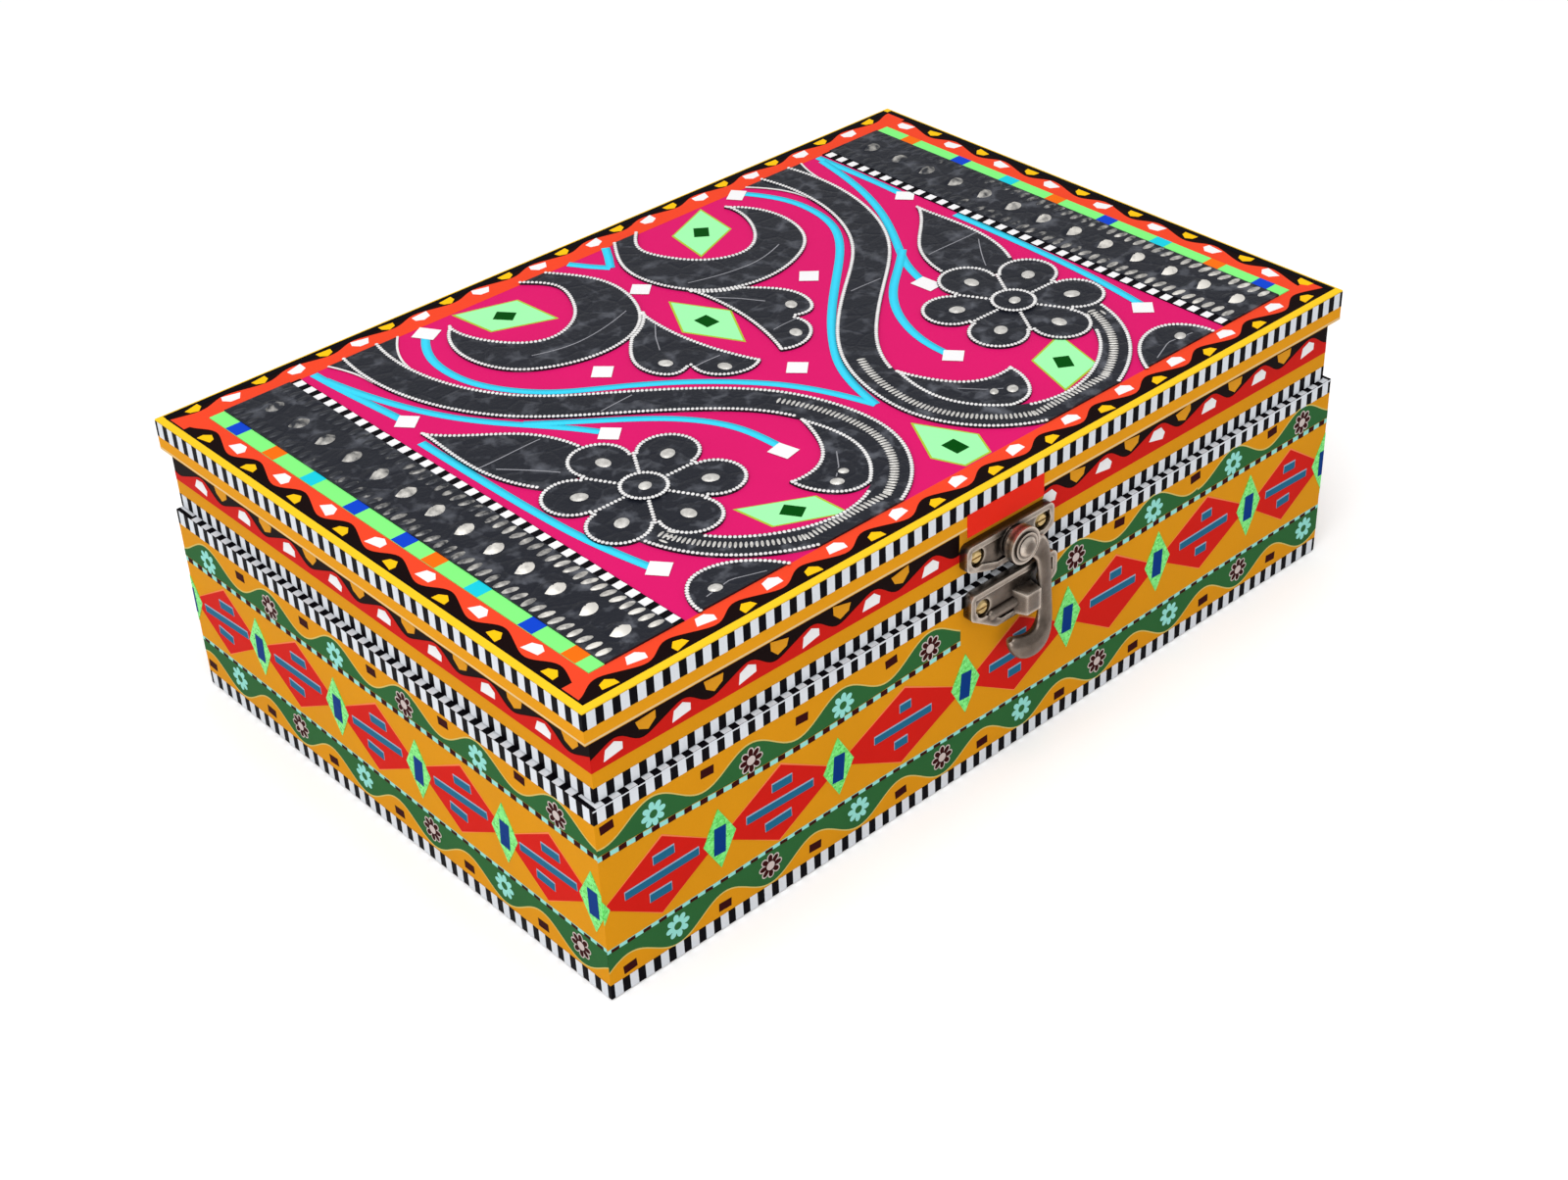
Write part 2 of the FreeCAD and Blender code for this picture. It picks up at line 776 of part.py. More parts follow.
# A boss in steps carries the hook on the latch plate.
BOSS_STEPS = 3
latch_shield = shield("latch_shield", "size.latch_plate_height", "(size.pivot_x - size.latch_x)")
put(latch_shield, "size.latch_x", "place.latch_face", "place.latch_plate_top")
boss_start = ("size.pivot_x", "place.latch_face", "place.pivot_z")
boss_height = "place.latch_face - place.hook_back - size.hook_clearance"
latch_bosses = []
for step in range(BOSS_STEPS):
    radius = f"size.boss_radius - {step} * size.boss_step"
    height = f"{boss_height} - {BOSS_STEPS - 1 - step} * size.boss_step"
    latch_bosses.append(rod(f"latch_boss_{step}", radius, height, boss_start, FRONT))
rivet_space = rod(
    "rivet_space",
    "size.rivet_radius + size.rivet_fit",
    "size.hook_thick + size.eye_ring_height + place.latch_face - place.hook_back",
    boss_start,
    FRONT,
)
latch_whole = fuse("latch_whole", [latch_shield] + latch_bosses)
latch_cuts = screw_holes("latch") + screw_seats("latch") + [rivet_space]
drilled("latch_plate", latch_whole, latch_cuts)

catch_shield = shield("catch_shield", "size.catch_plate_height", "(size.pivot_x - size.latch_x)")
put(catch_shield, "size.latch_x", "place.catch_face", "place.catch_plate_top")

# Keeper on the catch plate: a post with a sloping left side at the end of a rib.
KEEPER_RIGHT = "(size.pivot_x + size.arm_offset - size.arm_width / 2 - 2 * size.hook_clearance)"
KEEPER_LEFT = f"({KEEPER_RIGHT} - size.keeper_width)"
KEEPER_LOW = "(place.catch_plate_top - size.catch_plate_height + size.keeper_lift)"
keeper = doc.addObject("Part::Wedge", "keeper")
bind(keeper, Xmin="0", Xmax="size.keeper_width", Zmin="0", Zmax="size.keeper_height")
bind(keeper, X2min="0", X2max="size.keeper_width - size.keeper_slope")
bind(keeper, Z2min="0", Z2max="size.keeper_height - size.keeper_slope / 2")
bind(keeper, Ymin="0", Ymax="size.keeper_proud + size.plate_recess")
keeper.Placement.Rotation = Rotation(UP, 180)
put(keeper, KEEPER_RIGHT, "place.catch_front + size.plate_recess", KEEPER_LOW)
rib_start = (
    f"{KEEPER_LEFT} - size.keeper_rib_length",
    "place.catch_front + size.plate_recess",
    f"{KEEPER_LOW} + size.keeper_height / 2",
)
rib_length = "size.keeper_rib_length + size.keeper_slope"
keeper_rib = rod("keeper_rib", "size.keeper_rib_radius", rib_length, rib_start, Vector(1, 0, 0))
rib_end = doc.addObject("Part::Sphere", "rib_end")
bind(rib_end, Radius="size.keeper_rib_radius")
put(rib_end, *rib_start)
catch_whole = fuse("catch_whole", [catch_shield, keeper, keeper_rib, rib_end])
drilled("catch_plate", catch_whole, screw_holes("catch") + screw_seats("catch"))

# Rivet: a shank through plate and hook under a domed head.
head_seat = "place.hook_back - size.hook_thick - size.eye_ring_height - size.rivet_fit"
rivet_length = f"place.latch_face - ({head_seat})"
rivet_shank = rod("rivet_shank", "size.rivet_radius", rivet_length, boss_start, FRONT)
rivet_head = doc.addObject("Part::Cone", "rivet_head")
rivet_head.Placement.Rotation = Rotation(UP, FRONT)
bind(rivet_head, Radius1="size.rivet_head_radius", Radius2="size.rivet_head_flat")
bind(rivet_head, Height="size.rivet_head_height")
put(rivet_head, "size.pivot_x", head_seat, "place.pivot_z")
node(fuse("rivet", [rivet_shank, rivet_head]), "latch_rivet")


# Swing hook: an eye with a raised ring, and an arm that runs down and curls under
# the keeper into a thick finger grip. The arm is lofted through ellipses along its
# centre line, which is straight down to the curl and then a round arc. Neck and
# shoulder are shares of the arm's offset, of the eye's radius and of the arm's width.
NECK_SHARES = {"out": 0.45, "down": 0.45, "turn": -45, "width": 1.3}
SHOULDER_SHARES = {"out": 0.88, "down": 1.25, "turn": -62, "width": 1.1}
ARM_MIDDLE_SHARE = 0.62
# Degrees round the curl, and the share of the full grip that the section has there:
# it swells from the section of the arm, and then narrows to that of the tip.
SWELL_SHARES = ((0, 0.15), (45, 0.7), (90, 1.0))
TAPER_SHARES = ((125, 0.75), (150, 0.0))


def hook_sections():
    """Place on the centre line from the pivot, direction, width and depth."""
    arm_x = SIZES["arm_offset"]
    radius = SIZES["curl_radius"]
    centre_x = arm_x - radius
    centre_z = radius - SIZES["hook_drop"]
    width = SIZES["arm_width"]
    thick = SIZES["hook_thick"] - 2 * SIZES["arm_relief"]
    sections = []
    for bend in (NECK_SHARES, SHOULDER_SHARES):
        down = -SIZES["eye_radius"] * bend["down"]
        sections.append((arm_x * bend["out"], down, bend["turn"], width * bend["width"], thick))
    sections.append((arm_x, centre_z * ARM_MIDDLE_SHARE, -90, width, thick))
    tip = SIZES["curl_tip"]
    bends = [(turn, share, width, thick) for turn, share in SWELL_SHARES]
    bends += [(turn, share, tip, tip) for turn, share in TAPER_SHARES]
    for turn, share, low_width, low_depth in bends:
        angle = math.radians(-turn)
        x = centre_x + radius * math.cos(angle)
        z = centre_z + radius * math.sin(angle)
        section_width = low_width + (SIZES["curl_width"] - low_width) * share
        section_depth = low_depth + (SIZES["curl_depth"] - low_depth) * share
        sections.append((x, z, -90 - turn, section_width, section_depth))
    return sections


ellipses = []
hook_y = place.get("hook_back")
for index, (x, z, turn, width, depth) in enumerate(hook_sections()):
    angle = math.radians(turn)
    run = Vector(math.cos(angle), 0, math.sin(angle))
    across = Vector(-math.sin(angle), 0, math.cos(angle))
    section = doc.addObject("Part::Ellipse", f"hook_section_{index}")
    section.MajorRadius = width / 2
    section.MinorRadius = min(depth, width - SIZES["arm_relief"]) / 2
    back = hook_y - SIZES["arm_relief"]
    middle = Vector(SIZES["pivot_x"] + x, back - depth / 2, place.get("pivot_z") + z)
    section.Placement = Placement(middle, Rotation(across, FRONT, run, "ZXY"))
    ellipses.append(section)
arm = doc.addObject("Part::Loft", "hook_arm")
arm.Sections = ellipses
arm.Solid = True
arm.MaxDegree = 3

eye_start = ("size.pivot_x", "place.hook_back", "place.pivot_z")
eye = rod("hook_eye", "size.eye_radius", "size.hook_thick", eye_start, FRONT)
ring_height = "size.hook_thick + size.eye_ring_height"
ring = rod("hook_ring", "size.eye_radius - size.eye_ring", ring_height, eye_start, FRONT)
hook_whole = fuse("hook_whole", [eye, ring, arm])
drilled("swing_hook", hook_whole, [rivet_space])


# Hinges: two plain leaves each, screwed flat to the back, with three knuckles round
# a pin. The base leaf has the outer knuckles and the lid leaf the middle one.
def leaf(name, x, sign, spans):
    """A leaf with its knuckles. The sign says which way it runs from the axis."""
    low_z, high_z = "place.hinge_z", f"place.hinge_z {sign} size.leaf_height"
    if sign == "-":
        low_z, high_z = high_z, low_z
    half = "size.hinge_length / 2"
    plate = block(
        name + "_plate",
        (f"{x} - {half}", "place.half_depth + size.film", low_z),
        (f"{x} + {half}", LEAF_FACE, high_z),
    )
    edges = doc.addObject("Part::Fillet", name + "_rounded")
    edges.Base = plate
    doc.recompute()
    corners = edges_along(plate.Shape, BACK)
    axis_z = place.get("hinge_z")
    reach = [abs(plate.Shape.Edges[index - 1].CenterOfMass.z - axis_z) for index in corners]
    outer = [index for index, far in zip(corners, reach) if far > SIZES["knuckle_radius"]]
    edges.Edges = [(index, SIZES["leaf_corner"], SIZES["leaf_corner"]) for index in outer]
    knuckles = []
    notches = []
    for index, (start, end, own) in enumerate(spans):
        trim = "size.knuckle_gap / 2"
        first = f"{x} + ({start}) * place.knuckle_half"
        length = f"(({end}) - ({start})) * place.knuckle_half"
        if own:
            seat = (f"{first} + {trim}", "place.hinge_y", "place.hinge_z")
            knuckles.append(
                rod(f"{name}_knuckle_{index}", "size.knuckle_radius", f"{length} - 2 * {trim}", seat,
                    Vector(1, 0, 0))
            )
        else:
            room = "(size.knuckle_radius + size.knuckle_gap)"
            notches.append(
                block(
                    f"{name}_notch_{index}",
                    (f"{first} - {trim}", "place.half_depth + size.film", f"place.hinge_z - {room}"),
                    (f"{first} + {length} + {trim}", LEAF_FACE, f"place.hinge_z + {room}"),
                )
            )
    bore = rod(
        name + "_bore",
        "size.hinge_pin_radius + size.hinge_pin_fit",
        "size.hinge_length",
        (f"{x} - {half}", "place.hinge_y", "place.hinge_z"),
        Vector(1, 0, 0),
    )
    whole = fuse(name + "_whole", [cut(name + "_notched", edges, notches)] + knuckles)
    return whole, bore


OUTER_KNUCKLES = (("-3", "-1", True), ("-1", "1", False), ("1", "3", True))
INNER_KNUCKLE = (("-3", "-1", False), ("-1", "1", True), ("1", "3", False))
for side, x in HINGE_SIDES.items():
    whole, bore = leaf(f"{side}_base", x, "-", OUTER_KNUCKLES)
    drilled(f"{side}_hinge_base_leaf", whole, [bore] + screw_holes("base_hinge"))
    whole, bore = leaf(f"{side}_lid", x, "+", INNER_KNUCKLE)
    drilled(f"{side}_hinge_lid_leaf", whole, [bore] + screw_holes("lid_hinge"))
    pin_start = (f"{x} - size.hinge_length / 2", "place.hinge_y", "place.hinge_z")
    hinge_pin = rod(
        f"{side}_pin", "size.hinge_pin_radius", "size.hinge_length", pin_start, Vector(1, 0, 0)
    )
    node(hinge_pin, f"{side}_hinge_pin")


# Red patch above the latch: a strip of film stuck to the panel's edge, which hangs a
# little way down over the wall.
PATCH_BACK = "-place.panel_half_depth - size.film"
patch = block(
    "patch",
    (
        "size.patch_x - size.patch_length / 2",
        f"{PATCH_BACK} - size.film",
        "place.lid_under - size.patch_hang",
    ),
    ("size.patch_x + size.patch_length / 2", PATCH_BACK, "place.lid_under + size.patch_rise"),
)
node(patch, "lid_latch_patch")


# Foil flower: teardrop petals round a raised disc, one at each end of the field.
def flower():
    body = doc.addObject("PartDesign::Body", "flower")
    plane = [item for item in body.Origin.OriginFeatures if item.Role == "XY_Plane"][0]
    petal = body.newObject("Sketcher::SketchObject", "petal")
    petal.AttachmentSupport = [(plane, "")]
    petal.MapMode = "FlatFace"
    reach = SIZES["petal_reach"] - SIZES["petal_radius"]
    radius = SIZES["petal_radius"]
    touch = math.acos(radius / reach)
    sideways = radius * math.sin(touch)
    outward = reach - radius * math.cos(touch)
    heart = Vector(0, 0, 0)
    left = Vector(-sideways, outward, 0)
    right = Vector(sideways, outward, 0)
    round_end = Part.Circle(Vector(0, reach, 0), Vector(0, 0, 1), radius)
    petal.addGeometry(Part.LineSegment(heart, right), False)
    petal.addGeometry(Part.ArcOfCircle(round_end, touch - math.pi / 2, 1.5 * math.pi - touch), False)
    petal.addGeometry(Part.LineSegment(left, heart), False)
    petal.addConstraint(Sketcher.Constraint("Coincident", 0, 1, -1, 1))
    petal.addConstraint(Sketcher.Constraint("Coincident", 2, 2, 0, 1))
    petal.addConstraint(Sketcher.Constraint("Tangent", 0, 2, 1, 1))
    petal.addConstraint(Sketcher.Constraint("Tangent", 1, 2, 2, 1))
    petal.addConstraint(Sketcher.Constraint("PointOnObject", 1, 3, -2))
    held = petal.addConstraint(Sketcher.Constraint("Radius", 1, radius))
    petal.setExpression(f"Constraints[{held}]", "size.petal_radius")
    held = petal.addConstraint(Sketcher.Constraint("DistanceY", -1, 1, 1, 3, reach))
    petal.setExpression(f"Constraints[{held}]", "size.petal_reach - size.petal_radius")
    first = pad(body, petal, "size.foil")
    petals = body.newObject("PartDesign::PolarPattern", "petals")
    petals.Originals = [first]
    axis = [item for item in body.Origin.OriginFeatures if item.Role == "Z_Axis"][0]
    petals.Axis = (axis, [""])
    petals.Angle = 360
    petals.setExpression("Occurrences", "size.petal_count")
    body.Tip = petals
    doc.recompute()
    disc = body.newObject("Sketcher::SketchObject", "disc")
    disc.AttachmentSupport = [(plane, "")]
    disc.MapMode = "FlatFace"
    disc.addGeometry(Part.Circle(heart, Vector(0, 0, 1), SIZES["flower_disc_radius"]), False)
    disc.addConstraint(Sketcher.Constraint("Coincident", 0, 3, -1, 1))
    held = disc.addConstraint(Sketcher.Constraint("Radius", 0, SIZES["flower_disc_radius"]))
    disc.setExpression(f"Constraints[{held}]", "size.flower_disc_radius")
    pad(body, disc, "size.foil + size.flower_disc_height")
    put(body, "size.flower_inset - place.window_length", "-size.flower_forward", "place.film_top")
    return body


left_flower = flower()
right_flower = doc.addObject("Part::Mirroring", "right_flower")
right_flower.Source = left_flower
right_flower.Normal = Vector(1, 0, 0)
node(group("flowers", [left_flower, right_flower]), "foil_flowers")
doc.recompute()


# Foil motifs. Each point is two shares: along the window from its left end to the
# middle of the lid, and from the lid's middle line to the back edge of the field. Each
# run is one smooth curve, and runs meet at the sharp corners of the outline.
SCROLL_SHARES = [
    (0.235, 1.120), (0.189, 0.867), (0.217, 0.584), (0.337, 0.307), (0.519, 0.107),
    (0.703, -0.083), (0.832, -0.272), (0.895, -0.480), (0.898, -0.667), (0.831, -0.833),
    (0.704, -0.947), (0.550, -0.973), (0.396, -0.913), (0.270, -0.793), (0.194, -0.632),
    (0.182, -0.480),
]
# The scroll keeps its full width as far as this point, and then narrows to its tip.
SCROLL_TAPER = 5
LEAF_SHARES = [
    [
        (0.062, 0.407), (0.153, 0.280), (0.263, 0.151), (0.315, 0.017), (0.321, -0.116),
    ],
    [
        (0.153, -0.205), (0.084, -0.072), (0.055, 0.067), (0.053, 0.240), (0.062, 0.407),
    ],
]
INNER_LEAF_SHARES = [
    [
        (0.849, -0.320), (0.804, -0.476), (0.739, -0.620), (0.587, -0.672),
    ],
    [
        (0.587, -0.672), (0.607, -0.776), (0.671, -0.853), (0.785, -0.827), (0.858, -0.693),
        (0.880, -0.533),
    ],
]
CRESCENT_SHARES = [
    [
        (0.474, 0.929), (0.400, 0.796), (0.392, 0.663), (0.447, 0.507), (0.557, 0.417),
        (0.703, 0.384), (0.849, 0.440), (0.942, 0.596), (0.959, 0.796), (0.868, 1.007),
        (0.792, 1.147),
    ],
    [
        (0.682, 1.147), (0.767, 1.007), (0.835, 0.884), (0.813, 0.773), (0.739, 0.651),
        (0.629, 0.607), (0.519, 0.707), (0.474, 0.929),
    ],
]
PALMETTE_SHARES = [
    [
        (0.914, 0.540), (0.749, 0.351), (0.694, 0.200), (0.726, 0.107), (0.804, 0.107),
    ],
    [
        (0.804, 0.107), (0.816, -0.005), (0.880, -0.056), (0.964, -0.036),
    ],
    [
        (0.964, -0.036), (0.909, 0.196), (0.898, 0.351), (0.914, 0.540),
    ],
]
CORNER_LEAF_SHARES = [
    [
        (0.062, -1.067), (0.056, -0.932), (0.125, -0.849), (0.209, -0.853), (0.282, -0.909),
        (0.363, -1.067),
    ],
]


def spots(points):
    """Points on the left half of the field, from their shares."""
    length = place.get("window_length")
    depth = place.get("field_depth")
    top = place.get("film_top")
    return [Vector((along - 1) * length, across * depth, top) for along, across in points]


def foil_solid(runs):
    """A flat piece of foil inside the given runs, on the left half of the field."""
    curves = []
    for run in runs:
        curve = Part.BSplineCurve()
        curve.interpolate(run)
        curves.append(curve.toShape())
    for first, second in zip(runs, runs[1:] + runs[:1]):
        if first[-1] != second[0]:
            curves.append(Part.LineSegment(first[-1], second[0]).toShape())
    face = Part.Face(Part.Wire(Part.__sortEdges__(curves)))
    return face.extrude(Vector(0, 0, SIZES["foil"]))


def ribbon_runs(line):
    """Two edges of a ribbon that narrows along its middle line."""
    middle = Part.BSplineCurve()
    middle.interpolate(line)
    steps = len(line) - 1 - SCROLL_TAPER
    left, right = [], []
    for index, spot in enumerate(line):
        narrowing = max(index - SCROLL_TAPER, 0) / steps
        width = SIZES["scroll_width"] + (SIZES["scroll_tip"] - SIZES["scroll_width"]) * narrowing
        run = middle.tangent(middle.parameter(spot))[0]
        aside = Vector(-run.y, run.x, 0) * (width / 2)
        left.append(spot + aside)
        right.append(spot - aside)
    return [left, right[::-1]]


def foil_pair(label, runs, others):
    """Left and right copies of a motif, trimmed by the window and by other foil."""
    inner = SIZES["middle_gap"] / 2
    length = place.get("window_length") - inner
    depth = place.get("field_depth")
    corner = Vector(-place.get("window_length"), -depth, place.get("film_top"))
    window = Part.makeBox(length, 2 * depth, SIZES["foil"], corner)
    left = foil_solid(runs).common(window)
    for other in others:
        left = left.cut(other)
    left = Part.Compound([max(left.Solids, key=lambda solid: solid.Volume)])
    right = left.mirror(Vector(0, 0, 0), Vector(1, 0, 0))
    pair = doc.addObject("Part::Feature", label + "_pair")
    pair.Shape = Part.Compound(left.Solids + right.Solids)
    node(pair, label)
    return left


flower_shape = left_flower.Shape
scroll = foil_pair("foil_scrolls", ribbon_runs(spots(SCROLL_SHARES)), [flower_shape])
foil_pair("foil_leaves", [spots(run) for run in LEAF_SHARES], [flower_shape, scroll])
foil_pair("foil_inner_leaves", [spots(run) for run in INNER_LEAF_SHARES], [scroll])
crescent = foil_pair("foil_crescents", [spots(run) for run in CRESCENT_SHARES], [scroll])
foil_pair("foil_palmettes", [spots(run) for run in PALMETTE_SHARES], [crescent, scroll])
foil_pair("foil_corner_leaves", [spots(run) for run in CORNER_LEAF_SHARES], [scroll])

doc.recompute()
for thing in doc.Objects:
    if "Invalid" in thing.State or "Error" in thing.State:
        raise RuntimeError(f"{thing.Label} did not build: {thing.State}")
for part in nodes:
    if part.Shape.isNull() or not part.Shape.isValid() or not part.Shape.Solids:
        raise RuntimeError(f"{part.Label} has no valid solid")

os.makedirs("parts", exist_ok=True)
for part in nodes:
    part.Shape.exportStep(os.path.join("parts", part.Label + ".step"))
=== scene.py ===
import math

import bmesh
import bpy
from mathutils import Matrix, Vector
from mathutils.kdtree import KDTree


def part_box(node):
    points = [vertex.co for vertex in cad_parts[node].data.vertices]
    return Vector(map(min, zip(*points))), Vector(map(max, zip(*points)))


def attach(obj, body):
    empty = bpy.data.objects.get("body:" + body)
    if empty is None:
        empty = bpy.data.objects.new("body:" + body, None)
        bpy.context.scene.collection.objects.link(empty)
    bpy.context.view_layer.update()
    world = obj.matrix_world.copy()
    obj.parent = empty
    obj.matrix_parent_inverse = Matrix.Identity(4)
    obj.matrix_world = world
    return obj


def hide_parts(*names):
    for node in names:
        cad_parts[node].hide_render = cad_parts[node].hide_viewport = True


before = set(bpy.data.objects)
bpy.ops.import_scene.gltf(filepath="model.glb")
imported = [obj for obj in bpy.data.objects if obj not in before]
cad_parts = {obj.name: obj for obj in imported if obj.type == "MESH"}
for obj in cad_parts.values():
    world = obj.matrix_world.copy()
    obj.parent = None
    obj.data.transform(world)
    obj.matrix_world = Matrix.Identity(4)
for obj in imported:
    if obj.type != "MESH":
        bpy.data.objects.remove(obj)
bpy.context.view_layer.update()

# Boards: eight walls, a bottom and a lid panel of fibreboard, glued and pinned at the
# corners. They stay bare only along the inner rim and underneath, where the pressed
# fibre shows as a fine brown speckle.
MM = 0.001


def ink(red, green, blue):
    """A colour as light, from its screen values of 0 to 255."""
    parts = [value / 255 for value in (red, green, blue)]
    light = [part / 12.92 if part <= 0.04045 else ((part + 0.055) / 1.055) ** 2.4 for part in parts]
    return (*light, 1.0)


def sum_of(operation, turned=False):
    """A sum of a wire and another value, which comes first where the sum is turned round."""

    def add_node(wire, other):
        first, second = (other, wire) if turned else (wire, other)
        return wire.plan.node("ShaderNodeMath", {"operation": operation}, {0: first, 1: second})

    return add_node


class Wire:
    """One output of a node. Sums on wires add Math nodes to their plan."""

    def __init__(self, plan, socket):
        self.plan = plan
        self.socket = socket

    __add__ = sum_of("ADD")
    __radd__ = sum_of("ADD", True)
    __sub__ = sum_of("SUBTRACT")
    __rsub__ = sum_of("SUBTRACT", True)
    __mul__ = sum_of("MULTIPLY")
    __rmul__ = sum_of("MULTIPLY", True)
    __truediv__ = sum_of("DIVIDE")
    __pow__ = sum_of("POWER")
    __gt__ = sum_of("GREATER_THAN")


class Plan:
    """A node tree that is being drawn."""

    def __init__(self, tree):
        self.tree = tree

    def node(self, kind, settings=None, sockets=None, output=0):
        """Adds a node: its settings first, then values or wires for its sockets."""
        made = self.tree.nodes.new(kind)
        for name, value in (settings or {}).items():
            setattr(made, name, value)
        for key, value in (sockets or {}).items():
            for item in value if isinstance(value, list) else [value]:
                if isinstance(item, Wire):
                    self.tree.links.new(item.socket, made.inputs[key])
                else:
                    made.inputs[key].default_value = item
        return Wire(self, made.outputs[output])

    def place(self):
        """Where a point of the piece is, in the part's own frame."""
        return self.node("ShaderNodeTexCoord", output="Object")

    def part(self, vector, axis):
        """One part of a vector: 0 for x, 1 for y and 2 for z."""
        return self.node("ShaderNodeSeparateXYZ", None, {0: vector}, axis)

    def vector(self, parts):
        """A vector from some of its parts, by their axes."""
        return self.node("ShaderNodeCombineXYZ", None, parts)

    def clamp(self, value):
        """A value kept between 0 and 1."""
        return self.node("ShaderNodeClamp", None, {0: value})

    def noise(self, scale, detail=2.0):
        """Soft clouds, or fine grain where the scale is large."""
        sockets = {"Vector": self.place(), "Scale": scale, "Detail": detail}
        return self.node("ShaderNodeTexNoise", None, sockets)

    def mix(self, share, first, second):
        """A colour between two colours."""
        return self.node("ShaderNodeMix", {"data_type": "RGBA"}, {0: share, 6: first, 7: second}, 2)

    def shaded(self, colour, strength):
        """A colour made lighter or darker."""
        sockets = {0: colour, "Scale": strength}
        return self.node("ShaderNodeVectorMath", {"operation": "SCALE"}, sockets)

    def bump(self, height, depth, strength=1.0):
        """A surface raised by a height, as a normal."""
        sockets = {"Height": height, "Distance": depth, "Strength": strength}
        return self.node("ShaderNodeBump", None, sockets)


def new_finish(name, fixed, build):
    """A material whose fixed sockets are set directly and whose others come from its plan."""
    material = bpy.data.materials.new(name)
    material.use_nodes = True
    shader = material.node_tree.nodes["Principled BSDF"]
    for socket, value in fixed.items():
        shader.inputs[socket].default_value = value
    plan = Plan(material.node_tree)
    for socket, wire in build(plan).items():
        plan.tree.links.new(wire.socket, shader.inputs[socket])
    return material


def dress(finish, *names):
    """Gives CAD nodes a finish."""
    for name in names:
        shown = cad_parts[name]
        if not shown.material_slots:
            shown.data.materials.append(finish)
        for slot in shown.material_slots:
            slot.material = finish


def fibreboard(plan):
    """Pressed brown fibre with a fine speckle."""
    speckle = plan.noise(1400, 4)
    cloud = plan.noise(45, 3)
    brown = plan.mix(speckle, ink(128, 92, 58), ink(190, 150, 104))
    return {
        "Base Color": plan.mix(cloud * 0.5, brown, ink(150, 112, 72)),
        "Roughness": 0.75 + speckle * 0.2,
        "Normal": plan.bump(speckle, 0.08 * MM),
    }


bare_board = new_finish("bare_board", {"Specular IOR Level": 0.25}, fibreboard)
dress(bare_board, "base_bottom_panel", "lid_top_panel")
for box_half in ("base", "lid"):
    dress(bare_board, *(f"{box_half}_{side}_wall" for side in ("front", "back", "left", "right")))


# Panel pins: plain steel wire driven flush into the board, with dull, slightly rusty ends
# that show only on the bare underside.
def pin_steel(plan):
    """Dull wire with spots of rust."""
    rust = plan.noise(900, 5)
    return {
        "Base Color": plan.mix(rust, ink(150, 150, 152), ink(96, 82, 70)),
        "Roughness": 0.35 + rust * 0.35,
    }


wire_end = new_finish("wire_end", {"Metallic": 0.9}, pin_steel)
dress(wire_end, "base_corner_pins", "bottom_panel_pins", "lid_corner_pins", "lid_panel_pins")


# Felt lining: wine-red sheets glued to the floor, the walls and the inside of the lid.
# The cut edges are soft and the nap is uneven.
def place_piece(name, mesh, finish, body, smooth=None):
    """A finished mesh as a piece of the object that rides on a body."""
    mesh.name = name
    mesh.materials.clear()
    mesh.materials.append(finish)
    if smooth is not None:
        mesh.shade_smooth()
        mesh.set_sharp_from_angle(angle=smooth)
    piece = bpy.data.objects.new(name, mesh)
    bpy.context.scene.collection.objects.link(piece)
    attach(piece, body)
    return piece


def felt_nap(plan):
    """Wine-red felt with an uneven nap."""
    nap = plan.noise(2600, 6)
    patch = plan.noise(70, 4)
    wine = plan.mix(nap, ink(92, 10, 22), ink(150, 34, 46))
    return {
        "Base Color": plan.mix(patch * 0.45, wine, ink(84, 8, 20)),
        "Roughness": 0.85 + nap * 0.15,
        "Normal": plan.bump(nap, 0.35 * MM),
    }


FELT = 1.0 * MM
FELT_ROUND = 0.35 * MM


def felt_sheet(name, spans):
    """Sheets of felt between pairs of corners, with their cut edges rounded."""
    whole = bmesh.new()
    for low, high in spans:
        sheet = bmesh.new()
        bmesh.ops.create_cube(sheet, size=1.0)
        for vert in sheet.verts:
            shares = [part + 0.5 for part in vert.co]
            vert.co = [start + share * (end - start) for start, end, share in zip(low, high, shares)]
        bmesh.ops.bevel(
            sheet, geom=sheet.edges[:], offset=FELT_ROUND, segments=2, profile=0.5, affect="EDGES"
        )
        part = bpy.data.meshes.new(name)
        sheet.to_mesh(part)
        sheet.free()
        whole.from_mesh(part)
        bpy.data.meshes.remove(part)
    mesh = bpy.data.meshes.new(name)
    whole.to_mesh(mesh)
    whole.free()
    return mesh


felt = new_finish("wine_felt", {"Sheen Weight": 0.5, "Specular IOR Level": 0.15}, felt_nap)
for node, body, carrier, held in (
    ("base_floor_lining", "base", "base_bottom_panel", "laid"),
    ("base_wall_lining", "base", "base_front_wall", "stretched"),
    ("lid_panel_lining", "lid", "lid_top_panel", "stretched"),
    ("lid_wall_lining", "lid", "lid_front_wall", "stretched"),
):
    low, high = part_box(node)
    long, short, tall = high - low
    spans, flat = [(low, high)], (long, short)
    if "wall" in node:
        spans = [
            (low, (high.x, low.y + FELT, high.z)),
            ((low.x, high.y - FELT, low.z), high),
            ((low.x, low.y + FELT, low.z), (low.x + FELT, high.y - FELT, high.z)),
            ((high.x - FELT, low.y + FELT, low.z), (high.x, high.y - FELT, high.z)),
        ]
        flat = (2 * (long + short), tall)
    lining = place_piece(node + "_felt", felt_sheet(node, spans), felt, body, 0.9)
    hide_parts(node)


